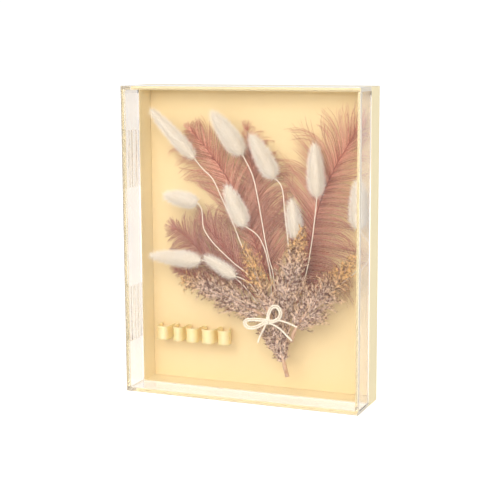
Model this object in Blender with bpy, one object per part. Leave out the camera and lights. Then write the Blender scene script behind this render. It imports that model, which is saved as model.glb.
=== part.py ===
"""Dried flower frame: a shallow box with a clear front cover, a cream tray and a
backing board. Ostrich feathers, bunny tails, reed plumes, a twine bow and a
looped ribbon are fixed inside it.

The box stands on its bottom edge with its front to -Y. The origin is at the middle
of the bottom face. Sizes are millimetres, and MM turns them into metres.
A depth is a distance back from the front face of the clear cover.
"""

import math

import bmesh
import bpy
from mathutils import Vector

MM = 0.001

WIDTH = 200.0
HEIGHT = 250.0
DEPTH = 48.5
WALL = 3.0
COVER_DEPTH = 26.8
TOUCH_GAP = 0.3
BOARD_THICK = 1.5
EDGE_ROUND = 0.5

# Depth of each feather's middle plane, back to front
FEATHER_LANES = {
    "centre": 45.2,
    "left": 43.2,
    "right": 41.2,
    "left_middle": 39.2,
    "centre_left": 37.2,
    "low_left": 35.2,
}
# Each side of a vane is a row of locks, which part from one another near their ends.
# The last stations of the shaft are bare quill.
LOCKS_PER_SIDE = 20
BARE_STATIONS = 3
LOCK_SPLIT = 0.8
LOCK_SLIT = 0.07
LOCK_HALF_THICK = 0.25
LOCK_END_HALF_THICK = 0.12
LOCK_SWAY = 0.3
LOCK_SWAY_TURN = 2.1
LOCK_END_SWAY = 1.6
QUILL_EDGE_HALF_THICK = 0.3

# Depth at which the grass stems lie on the feathers
STEM_LANE = 33.4
STEM_RADIUS = 0.5
TAIL_SIDES = 6

PLUME_SIDES = 6
PLUME_FLAT = 0.4
SPIKE_FORWARD = 0.85
SPIKE_OUTWARD = 0.55
SPIKE_END_SIZE = 0.15
STALK_RADIUS = 1.7
PLUME_BACK = 29.5
PLUME_FRONT = 23.9
PLUME_LOW = 27.4

BOW_DEPTH = 20.5
STRAND_RADIUS = 0.8
LOOP_STRAND = 1.3
KNOT_RADIUS = 2.4
KNOT_FLAT = 0.7

RIBBON_WIDTH = 12.0
RIBBON_THICK = 0.5
RIBBON_BOTTOM = 38.0
RIBBON_REACH = 16.5
RIBBON_BEND = 2.4
RIBBON_CROWN = 3.6
RIBBON_CROWN_STEPS = 6

# Pieces of smooth curve between two given points
CURVE_STEPS = 12


def clear_scene():
    for item in list(bpy.data.objects):
        bpy.data.objects.remove(item, do_unlink=True)


def finish_material(name, colour, roughness, alpha=1.0, transmission=0.0):
    """A Principled material from an sRGB colour given as 0 to 255."""
    linear = [((c / 255.0 + 0.055) / 1.055) ** 2.4 for c in colour]
    made = bpy.data.materials.new(name)
    made.use_nodes = True
    shader = made.node_tree.nodes["Principled BSDF"]
    shader.inputs["Base Color"].default_value = (*linear, 1.0)
    shader.inputs["Roughness"].default_value = roughness
    shader.inputs["Metallic"].default_value = 0.0
    shader.inputs["Transmission Weight"].default_value = transmission
    made.diffuse_color = (*linear, alpha)
    return made


def place(x, depth, z):
    """A point of the part, from millimetres and a depth behind the front face."""
    return Vector((x * MM, (depth - DEPTH / 2) * MM, z * MM))


def add_object(name, bm, finish, smooth=True):
    bmesh.ops.recalc_face_normals(bm, faces=bm.faces)
    mesh = bpy.data.meshes.new(name)
    bm.to_mesh(mesh)
    bm.free()
    if smooth:
        mesh.shade_smooth()
        mesh.set_sharp_from_angle(angle=math.radians(40))
    mesh.materials.append(finish)
    made = bpy.data.objects.new(name, mesh)
    bpy.context.scene.collection.objects.link(made)
    return made


def smooth_route(points, count):
    """count points, evenly spaced, on a smooth curve through the given ones."""
    fine = []
    last = len(points) - 1
    for i in range(last):
        before = Vector(points[max(i - 1, 0)])
        start = Vector(points[i])
        end = Vector(points[i + 1])
        after = Vector(points[min(i + 2, last)])
        for step in range(CURVE_STEPS):
            t = step / CURVE_STEPS
            fine.append(0.5 * (2 * start + (end - before) * t
                               + (2 * before - 5 * start + 4 * end - after) * t ** 2
                               + (3 * start - before - 3 * end + after) * t ** 3))
    fine.append(Vector(points[last]))
    travelled = [0.0]
    for i in range(1, len(fine)):
        travelled.append(travelled[-1] + (fine[i] - fine[i - 1]).length)
    route = []
    j = 0
    for i in range(count):
        target = travelled[-1] * i / (count - 1)
        while j < len(fine) - 2 and travelled[j + 1] < target:
            j += 1
        span = travelled[j + 1] - travelled[j]
        route.append(fine[j].lerp(fine[j + 1], min(1.0, (target - travelled[j]) / span)))
    return route


def read_table(rows, s):
    """Straight-line values between rows of (s, value, value, ...)."""
    if s <= rows[0][0]:
        return rows[0][1:]
    for low, high in zip(rows, rows[1:]):
        if s <= high[0]:
            t = (s - low[0]) / (high[0] - low[0])
            return tuple(a + (b - a) * t for a, b in zip(low[1:], high[1:]))
    return rows[-1][1:]


def tube(bm, centres, radii, sides, flat=1.0, closed=False):
    """Rings of verts round a path, bridged, with capped ends. Returns the rings."""
    rings = []
    count = len(centres)
    turn = None
    for i, centre in enumerate(centres):
        ahead = centres[(i + 1) % count] if closed else centres[min(i + 1, count - 1)]
        behind = centres[(i - 1) % count] if closed else centres[max(i - 1, 0)]
        along = (ahead - behind).normalized()
        if turn is None:
            turn = along.cross(Vector((0, 1, 0))).normalized()
        turn = (turn - along * turn.dot(along)).normalized()
        other = along.cross(turn)
        ring = []
        for k in range(sides):
            angle = 2 * math.pi * k / sides
            offset = (turn * math.cos(angle) + other * math.sin(angle)) * radii[i]
            offset.y *= flat
            ring.append(bm.verts.new(centre + offset))
        rings.append(ring)
    pairs = list(zip(rings, rings[1:]))
    if closed:
        pairs.append((rings[-1], rings[0]))
    for low, high in pairs:
        for k in range(sides):
            n = (k + 1) % sides
            bm.faces.new((low[k], low[n], high[n], high[k]))
    if not closed:
        bm.faces.new(rings[0])
        bm.faces.new(rings[-1])
    return rings


# Box


def box_object(name, low, high, finish):
    bm = bmesh.new()
    for vert in bmesh.ops.create_cube(bm, size=1.0)["verts"]:
        for axis in range(3):
            vert.co[axis] = high[axis] if vert.co[axis] > 0 else low[axis]
    return add_object(name, bm, finish, smooth=False)


def cut_from(body, cutter):
    cutter.hide_render = True
    cutter.display_type = "WIRE"
    cut = body.modifiers.new("hollow", "BOOLEAN")
    cut.operation = "DIFFERENCE"
    cut.solver = "EXACT"
    cut.object = cutter


def round_edges(body):
    bevel = body.modifiers.new("eased edges", "BEVEL")
    bevel.width = EDGE_ROUND * MM
    bevel.segments = 1
    bevel.limit_method = "ANGLE"


def build_box():
    clear = finish_material("cast acrylic", (244, 240, 232), 0.05, 0.3, 1.0)
    cream = finish_material("cream painted board", (246, 224, 165), 0.5)
    paper = finish_material("cream backing paper", (246, 222, 170), 0.85)
    half = WIDTH / 2
    inner = half - WALL

    cover = box_object("acrylic_cover", place(-half, 0, 0),
                       place(half, COVER_DEPTH, HEIGHT), clear)
    hollow = box_object("cover_hollow", place(-inner, WALL, WALL),
                        place(inner, COVER_DEPTH + WALL, HEIGHT - WALL), clear)
    cut_from(cover, hollow)
    round_edges(cover)

    tray_front = COVER_DEPTH + TOUCH_GAP
    tray = box_object("tray_frame", place(-half, tray_front, 0),
                      place(half, DEPTH, HEIGHT), cream)
    window = box_object("tray_window", place(-inner, tray_front - WALL, WALL),
                        place(inner, DEPTH + WALL, HEIGHT - WALL), cream)
    cut_from(tray, window)
    round_edges(tray)

    edge = inner - TOUCH_GAP
    box_object("backing_board", place(-edge, DEPTH - BOARD_THICK, WALL + TOUCH_GAP),
               place(edge, DEPTH, HEIGHT - WALL - TOUCH_GAP), paper)


# Feathers
#
# A shaft is (x, z) from the tip to the cut end. Each side has rows of
# (place along the shaft from 0 to 1, barb length, angle off the shaft in degrees,
# further turn along the barb in degrees).


FEATHERS = {
    "left": {
        "shaft": [(-57, 212), (-45, 199), (-34, 186), (-22, 168), (-8, 140),
                  (-1, 121), (9, 97), (17, 76)],
        "tip": 9,
        "left_side": [(0.0, 16, 14, 8), (0.12, 30, 26, 8), (0.3, 37, 34, 10),
                      (0.5, 44, 36, 12), (0.7, 30, 34, 10), (0.86, 14, 30, 5)],
        "right_side": [(0.0, 18, 20, 8), (0.12, 30, 30, 12), (0.3, 34, 44, 10),
                       (0.5, 36, 48, 6), (0.7, 34, 46, 4), (0.86, 16, 36, 0)],
    },
    "centre": {
        "shaft": [(-9.5, 217), (-8.5, 206), (-6, 190), (-2.5, 170), (2.5, 146),
                  (7, 125.5), (12, 103), (17.5, 78)],
        "tip": 7,
        "left_side": [(0.0, 8, 12, 6), (0.15, 12, 20, 10), (0.3, 22, 30, 14),
                      (0.5, 28, 40, 10), (0.75, 26, 42, 6), (0.88, 14, 36, 0)],
        "right_side": [(0.0, 7, 14, 8), (0.15, 16, 24, 26), (0.3, 27, 34, 22),
                       (0.5, 31, 42, 12), (0.75, 27, 42, 6), (0.88, 14, 36, 0)],
    },
    "right": {
        "shaft": [(83, 214), (81, 210.5), (74, 199), (65.5, 184), (55.5, 161),
                  (50.5, 145), (45.5, 123), (40, 98.5), (35, 76)],
        "tip": 12,
        "left_side": [(0.0, 22, 20, 8), (0.12, 38, 30, 12), (0.3, 50, 40, 14),
                      (0.5, 52, 46, 12), (0.7, 44, 50, 6), (0.86, 18, 40, 0)],
        "right_side": [(0.0, 10, 12, 4), (0.12, 22, 16, 10), (0.3, 29, 46, 14),
                       (0.5, 36, 66, 12), (0.7, 44, 72, 8), (0.86, 24, 60, 0)],
    },
    "left_middle": {
        "shaft": [(-76, 137), (-70, 132), (-62.5, 127.5), (-47, 113), (-32, 102.5),
                  (-14, 90), (3, 77)],
        "tip": 7,
        "left_side": [(0.0, 13, 34, 12), (0.15, 20, 44, 14), (0.35, 25, 46, 10),
                      (0.6, 21, 38, 8), (0.88, 9, 30, 0)],
        "right_side": [(0.0, 13, 26, 10), (0.15, 22, 32, 8), (0.35, 26, 34, 4),
                       (0.6, 24, 32, 0), (0.88, 9, 26, 0)],
    },
    "centre_left": {
        "shaft": [(-46, 139.5), (-38, 130.5), (-25.5, 116.5), (-13, 102), (1, 86.5),
                  (10, 75)],
        "tip": 7,
        "left_side": [(0.0, 9, 20, 8), (0.2, 18, 30, 8), (0.5, 25, 34, 6),
                      (0.88, 10, 28, 0)],
        "right_side": [(0.0, 13, 24, 4), (0.2, 28, 32, 2), (0.5, 37, 34, -4),
                       (0.75, 31, 32, -4), (0.9, 14, 26, 0)],
    },
    "low_left": {
        "shaft": [(-68, 97.5), (-53, 93.5), (-35, 87), (-17.5, 79.5), (-2, 73)],
        "tip": 5,
        "left_side": [(0.0, 7, 24, 10), (0.3, 12, 34, 8), (0.7, 12, 34, 4),
                      (0.9, 6, 30, 0)],
        "right_side": [(0.0, 8, 30, 10), (0.3, 15, 42, 6), (0.7, 17, 44, 2),
                       (0.9, 7, 34, 0)],
    },
}


def tipward(shaft, i):
    """The shaft's direction at one of its points, towards the tip."""
    return (shaft[max(i - 1, 0)] - shaft[min(i + 1, len(shaft) - 1)]).normalized()


def barb_point(shaft, rows, side, s, u):
    """A point at u along the barb that leaves the shaft at s, on side +1 or -1."""
    spot = s * (len(shaft) - 1)
    i = min(int(spot), len(shaft) - 2)
    root = shaft[i].lerp(shaft[i + 1], spot - i)
    along = tipward(shaft, i).lerp(tipward(shaft, i + 1), spot - i).normalized()
    across = Vector((-along[1], along[0])) * side
    length, angle, curl = read_table(rows, s)
    bend = math.radians(angle + curl * u)
    return root + (along * math.cos(bend) + across * math.sin(bend)) * (length * u)


def plate(bm, points, faces, lane):
    """A closed thin plate from flat points (x, z, half thickness, depth offset)."""
    front = []
    back = []
    for x, z, half, shift in points:
        front.append(bm.verts.new(place(x, lane + shift - half, z)))
        back.append(bm.verts.new(place(x, lane + shift + half, z)))
    sides = {}
    for face in faces:
        bm.faces.new([front[i] for i in face])
        bm.faces.new([back[i] for i in reversed(face)])
        for a, b in zip(face, face[1:] + face[:1]):
            key = (min(a, b), max(a, b))
            sides.setdefault(key, []).append((a, b))
    for uses in sides.values():
        if len(uses) == 1:
            a, b = uses[0]
            bm.faces.new((front[b], front[a], back[a], back[b]))


def build_feather(name, spec, lane, finish):
    """One quill with its row of locks down each side, as one closed plate."""
    stations = LOCKS_PER_SIDE + BARE_STATIONS
    shaft = smooth_route(spec["shaft"], stations + 1)
    vane_end = LOCKS_PER_SIDE / stations
    points = []
    faces = []

    def add(spot, half, shift=0.0):
        points.append((spot[0], spot[1], half, shift))
        return len(points) - 1

    left, middle, right = [], [], []
    for i, spot in enumerate(shaft):
        along = tipward(shaft, i)
        across = Vector((-along[1], along[0]))
        half_width = 0.35 + 0.65 * i / stations
        half_thick = 0.4 + 0.4 * i / stations
        left.append(add(spot + across * half_width, QUILL_EDGE_HALF_THICK))
        middle.append(add(spot, half_thick))
        right.append(add(spot - across * half_width, QUILL_EDGE_HALF_THICK))
    for i in range(stations):
        faces.append([left[i], middle[i], middle[i + 1], left[i + 1]])
        faces.append([middle[i], right[i], right[i + 1], middle[i + 1]])

    top = shaft[0] + (shaft[0] - shaft[1]).normalized() * spec["tip"]
    crown = add(top, LOCK_END_HALF_THICK)
    faces.append([left[0], crown, middle[0]])
    faces.append([middle[0], crown, right[0]])

    for edge, side, key in ((left, 1, "left_side"), (right, -1, "right_side")):
        rows = [(s * vane_end,) + tuple(rest) for s, *rest in spec[key]]
        for i in range(LOCKS_PER_SIDE):
            low, high = i / stations, (i + 1) / stations
            slit = (high - low) * LOCK_SLIT
            sway = LOCK_SWAY * math.sin(LOCK_SWAY_TURN * i + side)
            first = add(barb_point(shaft, rows, side, low + slit, LOCK_SPLIT),
                        LOCK_HALF_THICK, sway)
            second = add(barb_point(shaft, rows, side, high - slit, LOCK_SPLIT),
                         LOCK_HALF_THICK, sway)
            end = add(barb_point(shaft, rows, side, (low + high) / 2, 1.0),
                      LOCK_END_HALF_THICK, sway * LOCK_END_SWAY)
            if side == 1:
                faces.append([edge[i], edge[i + 1], second, first])
                faces.append([first, second, end])
            else:
                faces.append([edge[i + 1], edge[i], first, second])
                faces.append([second, first, end])
    bm = bmesh.new()
    plate(bm, points, faces, lane)
    return add_object(name, bm, finish, smooth=False)


def build_feathers():
    rose = (206, 158, 138)
    mauve = (178, 130, 114)
    for key, spec in FEATHERS.items():
        colour = mauve if key in ("centre_left", "low_left") else rose
        finish = finish_material("dyed feather " + key, colour, 0.8)
        build_feather("feather_" + key, spec, FEATHER_LANES[key], finish)


# Bunny tails
#
# Head: tip and base as (x, depth, z), with its widest radius. Stem: points on from
# the base of the head. Each runs down to the tie beside its neighbours.


HEAD_RINGS = ((0.0, 0.12), (0.07, 0.45), (0.25, 0.82), (0.5, 1.0), (0.75, 0.95),
              (0.92, 0.62), (1.0, 0.2))

TAILS = {
    1: {"tip": (-86, 28, 233), "base": (-48, 31.5, 193), "radius": 5.2,
        "stem": [(-41, 32.4, 184), (-35, 33.4, 175), (-26.5, 33.4, 158.5),
                 (-17.5, 33.4, 140), (-10, 33.4, 122), (-4, 33.4, 110.5),
                 (5, 33.4, 92), (13.2, 33.4, 74)]},
    2: {"tip": (-31, 28, 229), "base": (-6.5, 31.5, 197.5), "radius": 7.6,
        "stem": [(-2, 32.6, 187.5), (1, 33.4, 176), (5.5, 33.4, 155.5),
                 (10.5, 33.4, 128), (13.7, 33.4, 113), (18, 33.4, 97.5),
                 (18.6, 33.4, 74)]},
    3: {"tip": (0.5, 28, 212), "base": (20.5, 31.5, 179.5), "radius": 7.0,
        "stem": [(24.5, 32.8, 172), (26.4, 33.4, 163), (27.4, 33.4, 151.5),
                 (30.2, 33.4, 127), (31, 33.4, 110), (26.5, 33.4, 90),
                 (21.3, 33.4, 74)]},
    4: {"tip": (55.5, 28, 208), "base": (56.5, 31.5, 166), "radius": 6.8,
        "stem": [(55, 32.8, 158), (53, 33.4, 144.5), (50, 33.4, 126),
                 (46.5, 33.4, 106), (41, 33.4, 88), (33, 33.4, 74)]},
    5: {"tip": (37, 33.6, 163), "base": (41.5, 33.9, 131.5), "radius": 6.2,
        "stem": [(42, 33.6, 124), (40.5, 33.4, 112), (36, 33.4, 97),
                 (29.5, 33.4, 85), (25, 33.4, 74)]},
    6: {"tip": (-77, 29, 159), "base": (-48.5, 30, 154.5), "radius": 6.8,
        "stem": [(-44.5, 31, 150.5), (-43.8, 32.4, 143), (-44, 33.2, 137),
                 (-41.5, 33.4, 130.5), (-33, 33.4, 120.5), (-17, 33.4, 107),
                 (-3, 33.4, 96.5), (10.4, 33.4, 74)]},
    7: {"tip": (-18.5, 26.5, 172), "base": (-3.5, 28, 140.5), "radius": 7.4,
        "stem": [(1, 30, 136.8), (6, 32, 129.5), (10.2, 33.3, 120),
                 (12.4, 33.4, 112), (15.6, 33.4, 96), (15.9, 33.4, 74)]},
    8: {"tip": (-91.5, 25.2, 110.5), "base": (-47, 26.4, 110), "radius": 6.8,
        "stem": [(-43.5, 28, 109.6), (-38, 31.6, 107.5), (-31, 33.4, 103.5),
                 (-20, 33.4, 97.5), (-8, 33.4, 88.5), (4.8, 33.4, 74)]},
    9: {"tip": (-39, 26.4, 114), "base": (-13.5, 27.8, 99.5), "radius": 5.4,
        "stem": [(-9.5, 29.5, 98), (-5, 31.6, 94.6), (0.5, 33, 87.5),
                 (7.6, 33.4, 74)]},
    10: {"tip": (87.5, 30.5, 182), "base": (87, 32, 144), "radius": 6.6,
         "stem": [(89, 34, 138), (92.5, 37, 131), (94.6, 38.4, 123),
                  (92.5, 38.6, 114), (84, 38.6, 104), (70, 38.6, 92),
                  (54, 37.4, 81), (42, 36.4, 74)]},
}


def build_tails():
    finish = finish_material("dried bunny tail", (238, 226, 202), 0.9)
    for number, spec in TAILS.items():
        tip = Vector(spec["tip"])
        base = Vector(spec["base"])
        centres = []
        radii = []
        for along, share in HEAD_RINGS:
            centres.append(tip.lerp(base, along))
            radii.append(max(spec["radius"] * share, STEM_RADIUS))
        stem = smooth_route([spec["base"]] + spec["stem"], len(spec["stem"]) + 3)
        for spot in [base.lerp(stem[1], 0.15)] + stem[1:]:
            centres.append(spot)
            radii.append(STEM_RADIUS)
        bm = bmesh.new()
        tube(bm, [place(*c) for c in centres], [r * MM for r in radii], TAIL_SIDES)
        add_object("bunny_tail_%02d" % number, bm, finish)


# Reed plumes
#
# Axis points (x, z, body radius, spike length) from the tip to the root, and the
# axis's depth at its tip and at its root.


PLUMES = {
    "left_fan": {
        "depths": (PLUME_BACK, PLUME_BACK),
        "axis": [(-61, 90, 0.8, 5), (-50, 88, 3.2, 8), (-36, 84, 5.2, 9),
                 (-20, 78.5, 6.4, 9), (-6, 73, 6.0, 7), (3, 69.5, 4.0, 2)],
        "stalk": [(6.5, 68)],
    },
    "centre_left": {
        "depths": (PLUME_FRONT, PLUME_FRONT),
        "axis": [(-4, 124, 0.5, 4), (0, 116, 1.8, 6), (5, 106, 3.0, 8),
                 (9, 96, 3.6, 8), (13, 85, 4.0, 6), (15.5, 75, 3.0, 2)],
        "stalk": [(16.3, 70)],
    },
    "centre": {
        "depths": (PLUME_FRONT, PLUME_BACK),
        "axis": [(45.5, 139.5, 0.5, 4), (42, 128, 2.4, 7), (38, 114, 4.4, 8),
                 (33.5, 100, 6.6, 8), (29.5, 87, 7.4, 6), (27, 75.5, 5.6, 2)],
        "stalk": [(25.5, 69)],
    },
    "right": {
        "depths": (PLUME_FRONT, PLUME_FRONT),
        "axis": [(90, 121, 0.6, 3), (83, 110.5, 3.2, 8), (73, 98.5, 5.0, 9),
                 (60, 84, 5.8, 8), (48, 70, 5.4, 6), (42, 61.5, 3.0, 2)],
        "stalk": [(39.4, 58), (36.5, 48)],
    },
    "lower": {
        "depths": (PLUME_LOW, PLUME_LOW),
        "axis": [(16, 60, 5.0, 2), (17.5, 54.5, 9.0, 3), (19.5, 48, 10.0, 4),
                 (23, 40.5, 8.0, 5), (26.4, 34, 4.4, 4), (28.4, 30, 2.2, 2)],
        "stalk": [(29.6, 26.5), (32, 18)],
    },
}


def build_plume(name, spec, finish):
    """A tapering body of spikelets on its stalk; every other facet is a spike."""
    count = len(spec["axis"])
    spots = [(x, z, 0.0) for x, z, _, _ in spec["axis"]]
    route = smooth_route(spots, 2 * count - 1)
    rows = [(i / (count - 1), radius, spike)
            for i, (_, _, radius, spike) in enumerate(spec["axis"])]
    centres = []
    radii = []
    spikes = []
    tip_depth, root_depth = spec["depths"]
    for i, spot in enumerate(route):
        share = i / (len(route) - 1)
        radius, spike = read_table(rows, share)
        depth = tip_depth + (root_depth - tip_depth) * share
        centres.append(place(spot[0], depth, spot[1]))
        radii.append(radius * MM)
        spikes.append(spike * MM)
    body = len(centres)
    for x, z in spec["stalk"]:
        centres.append(place(x, root_depth, z))
        radii.append(STALK_RADIUS * MM)
    bm = bmesh.new()
    rings = tube(bm, centres, radii, PLUME_SIDES, flat=PLUME_FLAT)
    bm.verts.index_update()
    ring_of = {vert: i for i, ring in enumerate(rings) for vert in ring}
    for face in list(bm.faces):
        if len(face.verts) != 4:
            continue
        near = min(ring_of[vert] for vert in face.verts)
        side = min(rings[near].index(vert) for vert in face.verts
                   if ring_of[vert] == near)
        if near + 1 >= body or (near + side) % 2:
            continue
        middle = face.calc_center_median()
        heart = (centres[near] + centres[near + 1]) / 2
        outward = middle - heart
        outward.y *= PLUME_FLAT
        forward = (centres[near] - centres[near + 1]).normalized()
        reach = forward * SPIKE_FORWARD + outward.normalized() * SPIKE_OUTWARD
        reach.y = 0.0
        tip = middle + reach * spikes[near]
        corners = list(face.verts)
        bm.faces.remove(face)
        top = [bm.verts.new(tip + (vert.co - middle) * SPIKE_END_SIZE) for vert in corners]
        for a in range(4):
            b = (a + 1) % 4
            bm.faces.new((corners[a], corners[b], top[b], top[a]))
        bm.faces.new(top)
    add_object(name, bm, finish, smooth=False)


def build_plumes():
    colours = {
        "left_fan": (176, 146, 140),
        "centre_left": (196, 162, 112),
        "centre": (184, 152, 126),
        "right": (196, 158, 110),
        "lower": (172, 144, 142),
    }
    for key, spec in PLUMES.items():
        finish = finish_material("dried reed " + key, colours[key], 0.9)
        build_plume("reed_plume_" + key, spec, finish)


# Bow of twine: each strand's depth forward of the knot, and its points as (x, z)


KNOT = (17.5, 63.8)
LOOPS = {
    "loop_up": (0.25, [(17.8, 64.5), (18.2, 71), (21.5, 76.6), (26.5, 77),
                       (29.6, 72), (27.8, 66.5), (22.5, 64.2)]),
    "loop_left": (-0.2, [(17, 64.2), (9, 65.3), (0.5, 64.8), (-2.2, 61),
                         (0.5, 56.8), (6.5, 57.6), (12.5, 60.8)]),
}
BOW_TAILS = {
    "tail_a": (0.45, [(17, 63), (14.4, 57), (11, 50.5), (9.6, 45.8)]),
    "tail_b": (0.1, [(18, 62.5), (22.5, 61.4), (29, 58), (34, 53.6), (38.4, 49.7)]),
    "tail_c": (-0.5, [(18.5, 63.6), (27.7, 65), (35, 63.6), (42.3, 61)]),
}


def build_bow():
    finish = finish_material("cotton twine", (250, 240, 215), 0.9)
    bm = bmesh.new()
    bmesh.ops.create_icosphere(bm, subdivisions=2, radius=KNOT_RADIUS * MM)
    for vert in bm.verts:
        vert.co.y *= KNOT_FLAT
        vert.co += place(KNOT[0], BOW_DEPTH, KNOT[1])
    bow = add_object("twine_bow", bm, finish)
    strands = []
    for name, (lift, spots) in LOOPS.items():
        ring = [place(x, BOW_DEPTH - lift, z) for x, z in spots]
        ring = smooth_route(ring + [ring[0]], 15)[:-1]
        bm = bmesh.new()
        tube(bm, ring, [LOOP_STRAND * MM] * len(ring), 6, closed=True)
        strands.append(add_object(name, bm, finish))
    for name, (lift, spots) in BOW_TAILS.items():
        path = smooth_route([place(x, BOW_DEPTH - lift, z) for x, z in spots], 5)
        bm = bmesh.new()
        tube(bm, path, [STRAND_RADIUS * MM] * len(path), 6)
        strands.append(add_object(name, bm, finish))
    for strand in strands:
        strand.hide_render = True
        strand.display_type = "WIRE"
        join = bow.modifiers.new(strand.name, "BOOLEAN")
        join.operation = "UNION"
        join.solver = "EXACT"
        join.object = strand


# Ribbon: each loop as its left and right edge at the front


RIBBON_LOOPS = ((-87.0, -76.8), (-72.0, -63.6), (-60.2, -50.2), (-46.2, -35.2),
                (-31.4, -18.8))


def ribbon_path():
    """The folded ribbon seen from above, as (x, depth), left to right."""
    back = DEPTH - BOARD_THICK - TOUCH_GAP - RIBBON_THICK / 2
    front = back - RIBBON_REACH
    path = []
    for left, right in RIBBON_LOOPS:
        path.append((left - 1.6, back))
        path.append((left - 0.4, back - RIBBON_BEND))
        for step in range(RIBBON_CROWN_STEPS + 1):
            turn = math.pi * (1 - step / RIBBON_CROWN_STEPS)
            path.append(((left + right) / 2 + (right - left) / 2 * math.cos(turn),
                         front + RIBBON_CROWN * (1 - math.sin(turn))))
        path.append((right + 0.2, back - RIBBON_BEND))
        path.append((right + 1.4, back))
    return path


def build_ribbon():
    finish = finish_material("satin ribbon", (252, 238, 190), 0.35)
    path = [Vector(spot) for spot in ribbon_path()]
    bm = bmesh.new()
    rows = []
    for i, spot in enumerate(path):
        along = (path[min(i + 1, len(path) - 1)] - path[max(i - 1, 0)]).normalized()
        across = Vector((-along[1], along[0])) * RIBBON_THICK / 2
        row = []
        for side in (1, -1):
            edge = spot + across * side
            row.append(bm.verts.new(place(edge[0], edge[1], RIBBON_BOTTOM)))
            row.append(bm.verts.new(place(edge[0], edge[1],
                                          RIBBON_BOTTOM + RIBBON_WIDTH)))
        rows.append((row[0], row[1], row[3], row[2]))
    for low, high in zip(rows, rows[1:]):
        for k in range(4):
            n = (k + 1) % 4
            bm.faces.new((low[k], low[n], high[n], high[k]))
    bm.faces.new(rows[0])
    bm.faces.new(rows[-1])
    add_object("ribbon_loops", bm, finish, smooth=False)


clear_scene()
build_box()
build_feathers()
build_tails()
build_plumes()
build_bow()
build_ribbon()
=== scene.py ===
"""Dried flower frame: the finish of a clear-fronted shadow box with dyed ostrich
feathers, bunny tail grass, reed plumes, a twine bow and a looped satin ribbon.

The script is laid out as a Blender add-on and is run as a script. Lengths in the
tables are millimetres, a depth is measured back from the front face of the clear
cover, and place() turns both into the frame's metres.
"""

import math
import random
from functools import partial

import bmesh
import bpy
from mathutils import Matrix, Vector


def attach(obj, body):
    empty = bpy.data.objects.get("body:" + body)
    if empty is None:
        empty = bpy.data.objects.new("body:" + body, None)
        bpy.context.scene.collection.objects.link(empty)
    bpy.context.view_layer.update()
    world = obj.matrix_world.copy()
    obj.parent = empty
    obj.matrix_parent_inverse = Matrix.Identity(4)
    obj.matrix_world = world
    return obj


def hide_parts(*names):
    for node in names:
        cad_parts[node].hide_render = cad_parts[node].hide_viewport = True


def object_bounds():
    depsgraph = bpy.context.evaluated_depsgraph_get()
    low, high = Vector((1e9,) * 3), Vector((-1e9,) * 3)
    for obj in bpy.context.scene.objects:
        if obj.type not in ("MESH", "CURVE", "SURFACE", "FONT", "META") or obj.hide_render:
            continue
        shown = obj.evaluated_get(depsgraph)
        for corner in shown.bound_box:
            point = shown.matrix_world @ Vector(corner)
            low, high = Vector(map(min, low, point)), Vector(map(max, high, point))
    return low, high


bl_info = {
    "name": "Dried Flower Frame",
    "version": (1, 0, 0),
    "blender": (4, 5, 0),
    "location": "3D View > Sidebar > Flower Frame",
    "description": "Dresses a clear-fronted shadow box of dried flowers and feathers",
    "category": "Object",
}

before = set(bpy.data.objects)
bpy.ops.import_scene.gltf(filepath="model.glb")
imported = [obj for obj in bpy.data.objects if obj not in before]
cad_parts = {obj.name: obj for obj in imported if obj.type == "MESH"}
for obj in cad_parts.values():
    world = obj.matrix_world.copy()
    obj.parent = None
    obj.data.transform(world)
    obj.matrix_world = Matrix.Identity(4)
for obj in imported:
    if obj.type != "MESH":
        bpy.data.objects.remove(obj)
CAD_LOW, CAD_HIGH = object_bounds()

MM = 0.001
BODY = "root"
FRONT = CAD_LOW.y / MM
WHITE = (1.0, 1.0, 1.0, 1.0)
BACKWARD = Vector((0, 1, 0))
CURVE_STEPS = 12


# Helpers


def place(x, depth, z):
    """A point in metres from millimetres and a depth behind the front face."""
    return Vector((x, FRONT + depth, z)) * MM


def linear(hex_colour):
    """An sRGB hex colour as linear RGBA."""
    channels = [int(hex_colour[i:i + 2], 16) / 255.0 for i in (1, 3, 5)]
    return tuple(c / 12.92 if c <= 0.04045 else ((c + 0.055) / 1.055) ** 2.4
                 for c in channels) + (1.0,)


def colour_setting(name, text, hex_colour):
    """A colour property whose default is an sRGB hex value."""
    return bpy.props.FloatVectorProperty(
        name=name, description=text, subtype="COLOR", size=4, min=0.0, max=1.0,
        default=linear(hex_colour))


def number_setting(name, text, value, **more):
    """A number property; more says its unit and limits."""
    return bpy.props.FloatProperty(name=name, description=text, default=value, **more)


def length_setting(name, text, millimetres):
    """A length, given in millimetres and kept in metres."""
    return number_setting(name, text, millimetres * MM, unit="LENGTH", min=0.0,
                          precision=5)


def share_setting(name, text, value):
    """A share of 1, or a strength up to 4."""
    return number_setting(name, text, value, subtype="FACTOR", min=0.0, max=4.0)


def feed(tree, node, links):
    """Feeds a node's inputs: each gets a plain value, an output socket, or a node,
    which stands for its first output."""
    by_identifier = {socket.identifier: socket for socket in node.inputs}
    for key, value in links.items():
        socket = by_identifier[key] if key in by_identifier else node.inputs[key]
        if isinstance(value, bpy.types.Node):
            value = value.outputs[0]
        if isinstance(value, bpy.types.NodeSocket):
            tree.links.new(value, socket)
        else:
            socket.default_value = value


def add_node(tree, kind, links=None, **settings):
    """Adds a node with its settings and feeds its inputs."""
    made = tree.nodes.new(kind)
    for key, value in settings.items():
        setattr(made, key, value)
    feed(tree, made, links or {})
    return made


def heading(route, i):
    """The direction of a route at one of its points."""
    return (route[min(i + 1, len(route) - 1)] - route[max(i - 1, 0)]).normalized()


def distances(route):
    """How far along a route each of its points lies."""
    travelled = [0.0]
    for a, b in zip(route, route[1:]):
        travelled.append(travelled[-1] + (b - a).length)
    return travelled


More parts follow.
